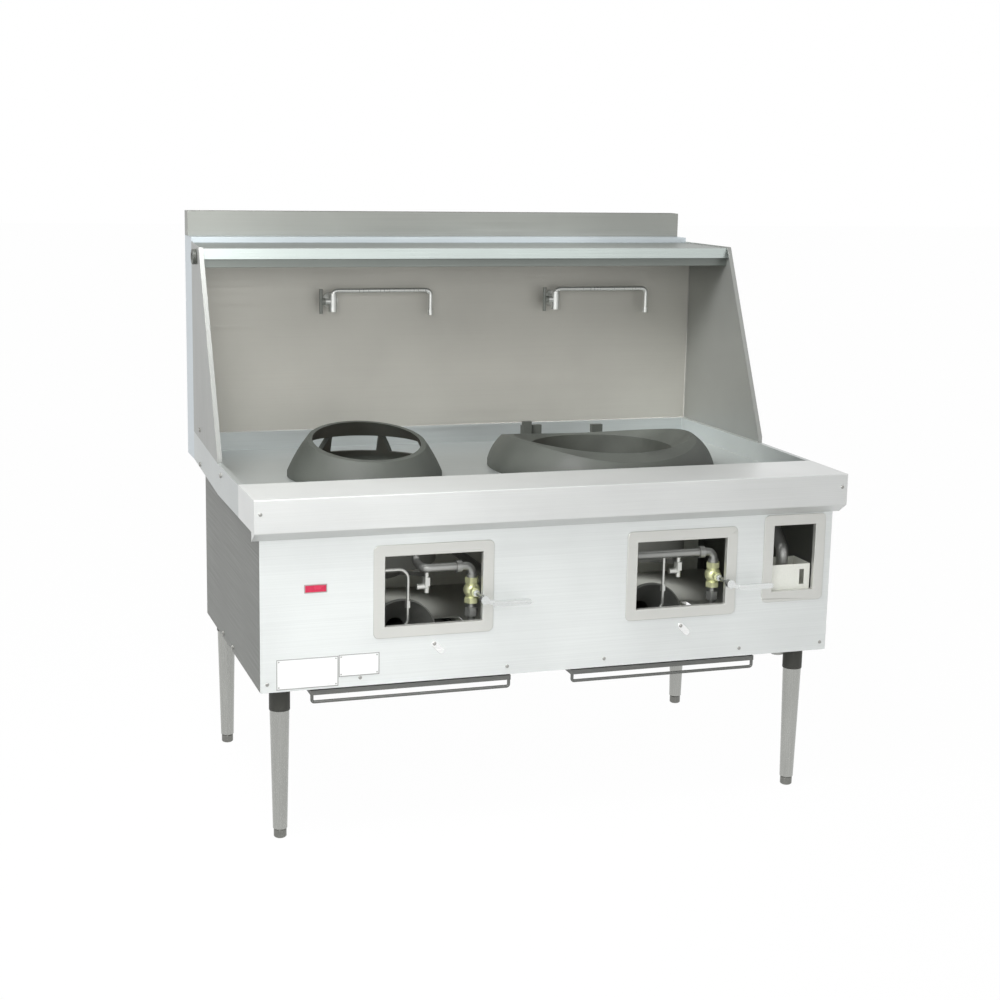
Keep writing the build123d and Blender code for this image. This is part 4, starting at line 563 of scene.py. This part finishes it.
def cast_metal(name, colour, roughness=0.6, metallic=0.35, grit=900, relief=0.5):
    """A cast or pressed skin, sandy, with pits and soft stains."""
    material, shading, links, shader = new_material(name)
    tree = material.node_tree
    place = shading.new("ShaderNodeTexCoord").outputs["Object"]
    sand = shading.new("ShaderNodeTexNoise")
    sand.inputs["Scale"].default_value = grit
    sand.inputs["Detail"].default_value = SAND_DETAIL
    stain = shading.new("ShaderNodeTexNoise")
    stain.inputs["Scale"].default_value = STAIN_SCALE
    stain.inputs["Detail"].default_value = STAIN_DETAIL
    links.new(place, sand.inputs["Vector"])
    links.new(place, stain.inputs["Vector"])
    fine = spread(tree, sand.outputs["Fac"], 1 - SAND_CHANGE, 1 + SAND_CHANGE)
    broad = spread(tree, stain.outputs["Fac"], 1 - STAIN_CHANGE, 1 + STAIN_CHANGE)
    gloss = spread(tree, stain.outputs["Fac"], roughness - CAST_GLOSS_CHANGE,
                   roughness + CAST_GLOSS_CHANGE)
    links.new(tinted(tree, colour, product(tree, fine, broad)), shader.inputs["Base Color"])
    links.new(gloss, shader.inputs["Roughness"])
    shader.inputs["Metallic"].default_value = metallic
    bumped(tree, shader, sand.outputs["Fac"], relief, SAND_DEPTH)
    return material


# The drum's paint, the brick and the burner's iron are their own colours made lighter: painted light
# for the shade inside the fire chambers.
drum_paint_with_painted_light = painted("drum_paint_with_painted_light", (0.24, 0.244, 0.222), roughness=0.7)
finish_nodes(drum_paint_with_painted_light, "fire_chamber_left", "fire_chamber_right")
firebrick = cast_metal("firebrick", (0.36, 0.27, 0.20), roughness=0.9, metallic=0.0, grit=300,
                       relief=0.8)
finish_nodes(firebrick, "chamber_lining_left", "chamber_lining_right")
burner_iron_with_painted_light = cast_metal("burner_iron_with_painted_light", (0.20, 0.205, 0.19), roughness=0.6, metallic=0.3)
eased(burner_iron_with_painted_light, BURNER_EASE, "burner_left", "burner_right")

# ---- Wok rings -----------------------------------------------------------------------------------
# Two loose iron castings that stand on the deck over the fire, as they came from the sand.
# Their edges are well rounded, and their skin is grey with fine pits.
RING_EASE = 0.0025
ring_iron = cast_metal("ring_iron", (0.054, 0.059, 0.051), roughness=0.62, metallic=0.12)
eased(ring_iron, RING_EASE, "wok_ring_left", "wok_ring_right", steps=3)

# ---- Gas: manifold, ball valves, levers, burner pipes and pilots ---------------------------------
# Threaded steel pipe with brass ball valves. Each lever stands out through its window on a long
# stem, and a bent aluminium tube feeds each pilot.
SUPPLY_EASE, VALVE_EASE, LEVER_EASE, PILOT_EASE = 0.0008, 0.001, 0.0016, 0.0007
pipe_steel = brushed_steel("pipe_steel", (0.34, 0.345, 0.33), "X", roughness=0.4, metallic=0.7,
                           smudge=0.2, scratch=0.1)
eased(pipe_steel, SUPPLY_EASE, "burner_supply_left", "burner_supply_right")
finish_nodes(pipe_steel, "gas_manifold", "drain_pipe")
valve_brass = cast_metal("valve_brass", (0.78, 0.80, 0.48), roughness=0.35, metallic=0.6, grit=600,
                         relief=0.2)
eased(valve_brass, VALVE_EASE, "ball_valve_left", "ball_valve_right")
lever_zinc = brushed_steel("lever_zinc", (0.68, 0.70, 0.69), "X", roughness=0.25, metallic=0.9)
eased(lever_zinc, LEVER_EASE, "valve_lever_left", "valve_lever_right", steps=3)
pilot_aluminium = brushed_steel("pilot_aluminium", (0.60, 0.61, 0.58), "Z", roughness=0.35,
                                metallic=0.9)
eased(pilot_aluminium, PILOT_EASE, "pilot_valves")
finish_nodes(pilot_aluminium, "pilot_tube_left", "pilot_tube_right")

# ---- Water: inlet, pipe, taps and swing spouts ---------------------------------------------------
# Chromed brass taps stand out from the backsplash, fed by a pipe under the shelf. Each has a
# swing spout and a dark bar handle, and the supply comes in by a black coupling on the left.
TAP_EASE, SPOUT_EASE, HANDLE_EASE, INLET_EASE = 0.0012, 0.0007, 0.002, 0.0015
tap_chrome = brushed_steel("tap_chrome", (0.60, 0.61, 0.585), "Z", roughness=0.32, metallic=0.7,
                           smudge=0.03, scratch=0.01, relief=0.02)
eased(tap_chrome, TAP_EASE, "tap_body_left", "tap_body_right", steps=3)
eased(tap_chrome, SPOUT_EASE, "spout_left", "spout_right")
finish_nodes(tap_chrome, "water_pipe")
handle_paint = painted("handle_paint", (0.19, 0.20, 0.18))
eased(handle_paint, HANDLE_EASE, "tap_handle_left", "tap_handle_right", steps=3)
eased(painted("inlet_paint", (0.075, 0.08, 0.07)), INLET_EASE, "water_inlet")

# ---- Drain box, trays and runners ----------------------------------------------------------------
# The drain box is folded from galvanised sheet and sits behind the service window. Two shallow
# steel trays with rod pulls slide in galvanised runners under the frame.
TRAY_EASE = 0.0006
# The galvanised sheet of the drain box and runners is coloured lighter than its own: painted light
# for the shade behind the service window.
galvanised = brushed_steel("galvanised", (0.76, 0.77, 0.71), "Y", roughness=0.45, metallic=0.4,
                           smudge=0.12)
tray_steel = brushed_steel("tray_steel", (0.14, 0.144, 0.136), "X", roughness=0.45, metallic=0.6)
eased(tray_steel, TRAY_EASE, "drip_tray_left", "drip_tray_right")
finish_nodes(galvanised, "drain_box", "tray_runners")

# ---- Lighting covers, plates and fasteners -------------------------------------------------------
# Small pressed covers swing on rivets over the lighting holes. The plates are bare with a thin
# dark border, and the pale ones have a small rivet at each corner. Slotted screws hold the panel
# and the rail, and hexagon bolts the sides.
COVER_EASE, BADGE_EASE, PLATE_EASE = 0.0007, 0.0004, 0.0003
cover_chrome = brushed_steel("cover_chrome", (0.88, 0.89, 0.88), "X", roughness=0.22, metallic=0.9)
eased(cover_chrome, COVER_EASE, "lighting_cover_left", "lighting_cover_right", steps=3)
eased(painted("red_enamel", (0.56, 0.02, 0.07), roughness=0.3), BADGE_EASE, "badge_plate")
plate_white = painted("plate_white", (0.77, 0.78, 0.775), roughness=0.35, speckle=0.02)
eased(plate_white, PLATE_EASE, "rating_plates")
screw_steel = brushed_steel("screw_steel", (0.36, 0.36, 0.34), "X", roughness=0.4, metallic=0.85)


def islands(name):
    """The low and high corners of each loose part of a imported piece."""
    shape = bmesh.new()
    shape.from_mesh(nodes[name].data)
    bmesh.ops.remove_doubles(shape, verts=shape.verts, dist=MERGE_GAP)
    counted, boxes = set(), []
    for first in shape.verts:
        if first in counted:
            continue
        counted.add(first)
        waiting, part = [first], []
        while waiting:
            vertex = waiting.pop()
            part.append(vertex.co.copy())
            for edge in vertex.link_edges:
                other = edge.other_vert(vertex)
                if other not in counted:
                    counted.add(other)
                    waiting.append(other)
        boxes.append((Vector([min(place[i] for place in part) for i in range(3)]),
                      Vector([max(place[i] for place in part) for i in range(3)])))
    shape.free()
    return boxes


# The heads are domes and hexagons, each made once and set on every fastener's place.
DOME_SEGMENTS, DOME_RINGS = 16, 10
SLOT_LENGTH = 3
HEXAGON, WASHER_SEGMENTS, WASHER_THICKNESS = 6, 20, 0.4


def scaled_sphere(tree, width, height):
    """A ball flattened to a dome of a width and a height."""
    ball = tree.nodes.new("GeometryNodeMeshUVSphere")
    ball.inputs["Segments"].default_value = DOME_SEGMENTS
    ball.inputs["Rings"].default_value = DOME_RINGS
    size = tree.nodes.new("ShaderNodeCombineXYZ")
    for axis, value in ((0, width), (1, width), (2, height)):
        tree.links.new(value, size.inputs[axis])
    dome = tree.nodes.new("GeometryNodeTransform")
    tree.links.new(ball.outputs["Mesh"], dome.inputs["Geometry"])
    tree.links.new(size.outputs[0], dome.inputs["Scale"])
    smooth = tree.nodes.new("GeometryNodeSetShadeSmooth")
    tree.links.new(dome.outputs[0], smooth.inputs[0])
    return smooth.outputs[0]


def raised(tree, geometry, height):
    """A shape moved up by a height."""
    lift = tree.nodes.new("ShaderNodeCombineXYZ")
    moved = tree.nodes.new("GeometryNodeTransform")
    tree.links.new(height, lift.inputs[2])
    tree.links.new(geometry, moved.inputs["Geometry"])
    tree.links.new(lift.outputs[0], moved.inputs["Translation"])
    return moved.outputs[0]


def set_on_points(tree, given, result, head):
    """Puts a head on every point, turned as the point says, and ends the tree."""
    turn = tree.nodes.new("GeometryNodeInputNamedAttribute")
    turn.data_type = "FLOAT_VECTOR"
    turn.inputs["Name"].default_value = "turn"
    stand = tree.nodes.new("GeometryNodeInstanceOnPoints")
    tree.links.new(given.outputs["Geometry"], stand.inputs["Points"])
    tree.links.new(head, stand.inputs["Instance"])
    tree.links.new(turn.outputs["Attribute"], stand.inputs["Rotation"])
    closed_tree(tree, given, result, stand.outputs[0])


rivet_tree, given, result = geometry_tree("rivet_heads", "Head Radius", "Head Height")
set_on_points(rivet_tree, given, result,
              scaled_sphere(rivet_tree, given.outputs["Head Radius"], given.outputs["Head Height"]))

screw_tree, given, result = geometry_tree("slotted_heads", "Head Radius", "Head Height",
                                          "Slot Width")
dome = scaled_sphere(screw_tree, given.outputs["Head Radius"], given.outputs["Head Height"])
slot_size = screw_tree.nodes.new("ShaderNodeCombineXYZ")
screw_tree.links.new(given.outputs["Slot Width"], slot_size.inputs[0])
screw_tree.links.new(times(screw_tree, given.outputs["Head Radius"], SLOT_LENGTH),
                     slot_size.inputs[1])
screw_tree.links.new(given.outputs["Head Height"], slot_size.inputs[2])
cutter = screw_tree.nodes.new("GeometryNodeMeshCube")
screw_tree.links.new(slot_size.outputs[0], cutter.inputs["Size"])
slot = raised(screw_tree, cutter.outputs["Mesh"], given.outputs["Head Height"])
cut = screw_tree.nodes.new("GeometryNodeMeshBoolean")
screw_tree.links.new(dome, cut.inputs["Mesh 1"])
screw_tree.links.new(slot, cut.inputs["Mesh 2"])
set_on_points(screw_tree, given, result, cut.outputs["Mesh"])

bolt_tree, given, result = geometry_tree("hexagon_heads", "Head Radius", "Head Height",
                                         "Washer Radius")
head = bolt_tree.nodes.new("GeometryNodeMeshCylinder")
head.inputs["Vertices"].default_value = HEXAGON
bolt_tree.links.new(given.outputs["Head Radius"], head.inputs["Radius"])
bolt_tree.links.new(given.outputs["Head Height"], head.inputs["Depth"])
washer = bolt_tree.nodes.new("GeometryNodeMeshCylinder")
washer.inputs["Vertices"].default_value = WASHER_SEGMENTS
bolt_tree.links.new(given.outputs["Washer Radius"], washer.inputs["Radius"])
bolt_tree.links.new(times(bolt_tree, given.outputs["Head Height"], WASHER_THICKNESS),
                    washer.inputs["Depth"])
half_height = times(bolt_tree, given.outputs["Head Height"], 0.5)
both = bolt_tree.nodes.new("GeometryNodeJoinGeometry")
bolt_tree.links.new(raised(bolt_tree, head.outputs["Mesh"], half_height), both.inputs[0])
bolt_tree.links.new(washer.outputs["Mesh"], both.inputs[0])
set_on_points(bolt_tree, given, result, both.outputs[0])

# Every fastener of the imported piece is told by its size: side bolts are thin across the range,
# panel screws thin from front to back, and the covers' rivets are the longer rest.
BOLT_DEPTH_LIMIT, SCREW_DEPTH_LIMIT, RIVET_SEAT = 0.006, 0.0035, 0.002
TO_FRONT = (math.pi / 2, 0, 0)
TO_LEFT = (0, -math.pi / 2, 0)
TO_RIGHT = (0, math.pi / 2, 0)
heads = {"screw": [], "bolt": [], "rivet": [], "tack": []}
for low, high in islands("case_fasteners"):
    middle, size = (low + high) / 2, high - low
    if size.x < BOLT_DEPTH_LIMIT and middle.x < 0:
        heads["bolt"].append(((high.x, middle.y, middle.z), TO_LEFT))
    elif size.x < BOLT_DEPTH_LIMIT:
        heads["bolt"].append(((low.x, middle.y, middle.z), TO_RIGHT))
    elif size.y < SCREW_DEPTH_LIMIT:
        heads["screw"].append(((middle.x, high.y, middle.z), TO_FRONT))
    else:
        heads["rivet"].append(((middle.x, low.y + RIVET_SEAT, middle.z), TO_FRONT))

# The border of each plate is a flat printed line, and small rivets hold the pale plates.
PLATE_BORDER, BORDER_RISE, PLATE_RIVET_INSET, PLATE_CORNERS = 0.0022, 0.0002, 0.006, 4
border_corners, border_strips = [], []
for low, high in islands("rating_plates") + islands("badge_plate"):
    start = len(border_corners)
    for inset in (0.0, PLATE_BORDER):
        near_x, far_x = low.x + inset, high.x - inset
        low_z, high_z = low.z + inset, high.z - inset
        for x, z in ((near_x, low_z), (far_x, low_z), (far_x, high_z), (near_x, high_z)):
            border_corners.append((x, low.y - BORDER_RISE, z))
    for this in range(PLATE_CORNERS):
        after = (this + 1) % PLATE_CORNERS
        border_strips.append((start + this, start + after, start + PLATE_CORNERS + after,
                              start + PLATE_CORNERS + this))
borders = bpy.data.meshes.new("plate_borders")
borders.from_pydata(border_corners, [], border_strips)
borders.materials.append(painted("border_ink", (0.30, 0.30, 0.29), roughness=0.4, speckle=0.02))
added("plate_borders", borders, "range_body")
for low, high in islands("rating_plates"):
    for x in (low.x + PLATE_RIVET_INSET, high.x - PLATE_RIVET_INSET):
        for z in (low.z + PLATE_RIVET_INSET, high.z - PLATE_RIVET_INSET):
            heads["tack"].append(((x, low.y, z), TO_FRONT))

# All the heads are one piece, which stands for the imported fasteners.
HEAD_KINDS = (
    ("screw", screw_tree, {"Head Radius": 0.0047, "Head Height": 0.0022, "Slot Width": 0.0011}),
    ("bolt", bolt_tree, {"Head Radius": 0.0058, "Head Height": 0.0042, "Washer Radius": 0.0072}),
    ("rivet", rivet_tree, {"Head Radius": 0.0048, "Head Height": 0.0022}),
    ("tack", rivet_tree, {"Head Radius": 0.002, "Head Height": 0.001}))
joined = bmesh.new()
for kind, tree, head_sizes in HEAD_KINDS:
    places = [place for place, turn in heads[kind]]
    turns = [turn for place, turn in heads[kind]]
    points = plain_points(kind + "_points", places, turns)
    joined.from_mesh(grown(kind + "_heads", points, tree, screw_steel, head_sizes))
fasteners = bpy.data.meshes.new("fastener_heads")
joined.to_mesh(fasteners)
joined.free()
fasteners.materials.append(screw_steel)
finish_nodes(screw_steel, "case_fasteners")
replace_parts(added("fastener_heads", fasteners, "range_body"), "case_fasteners")
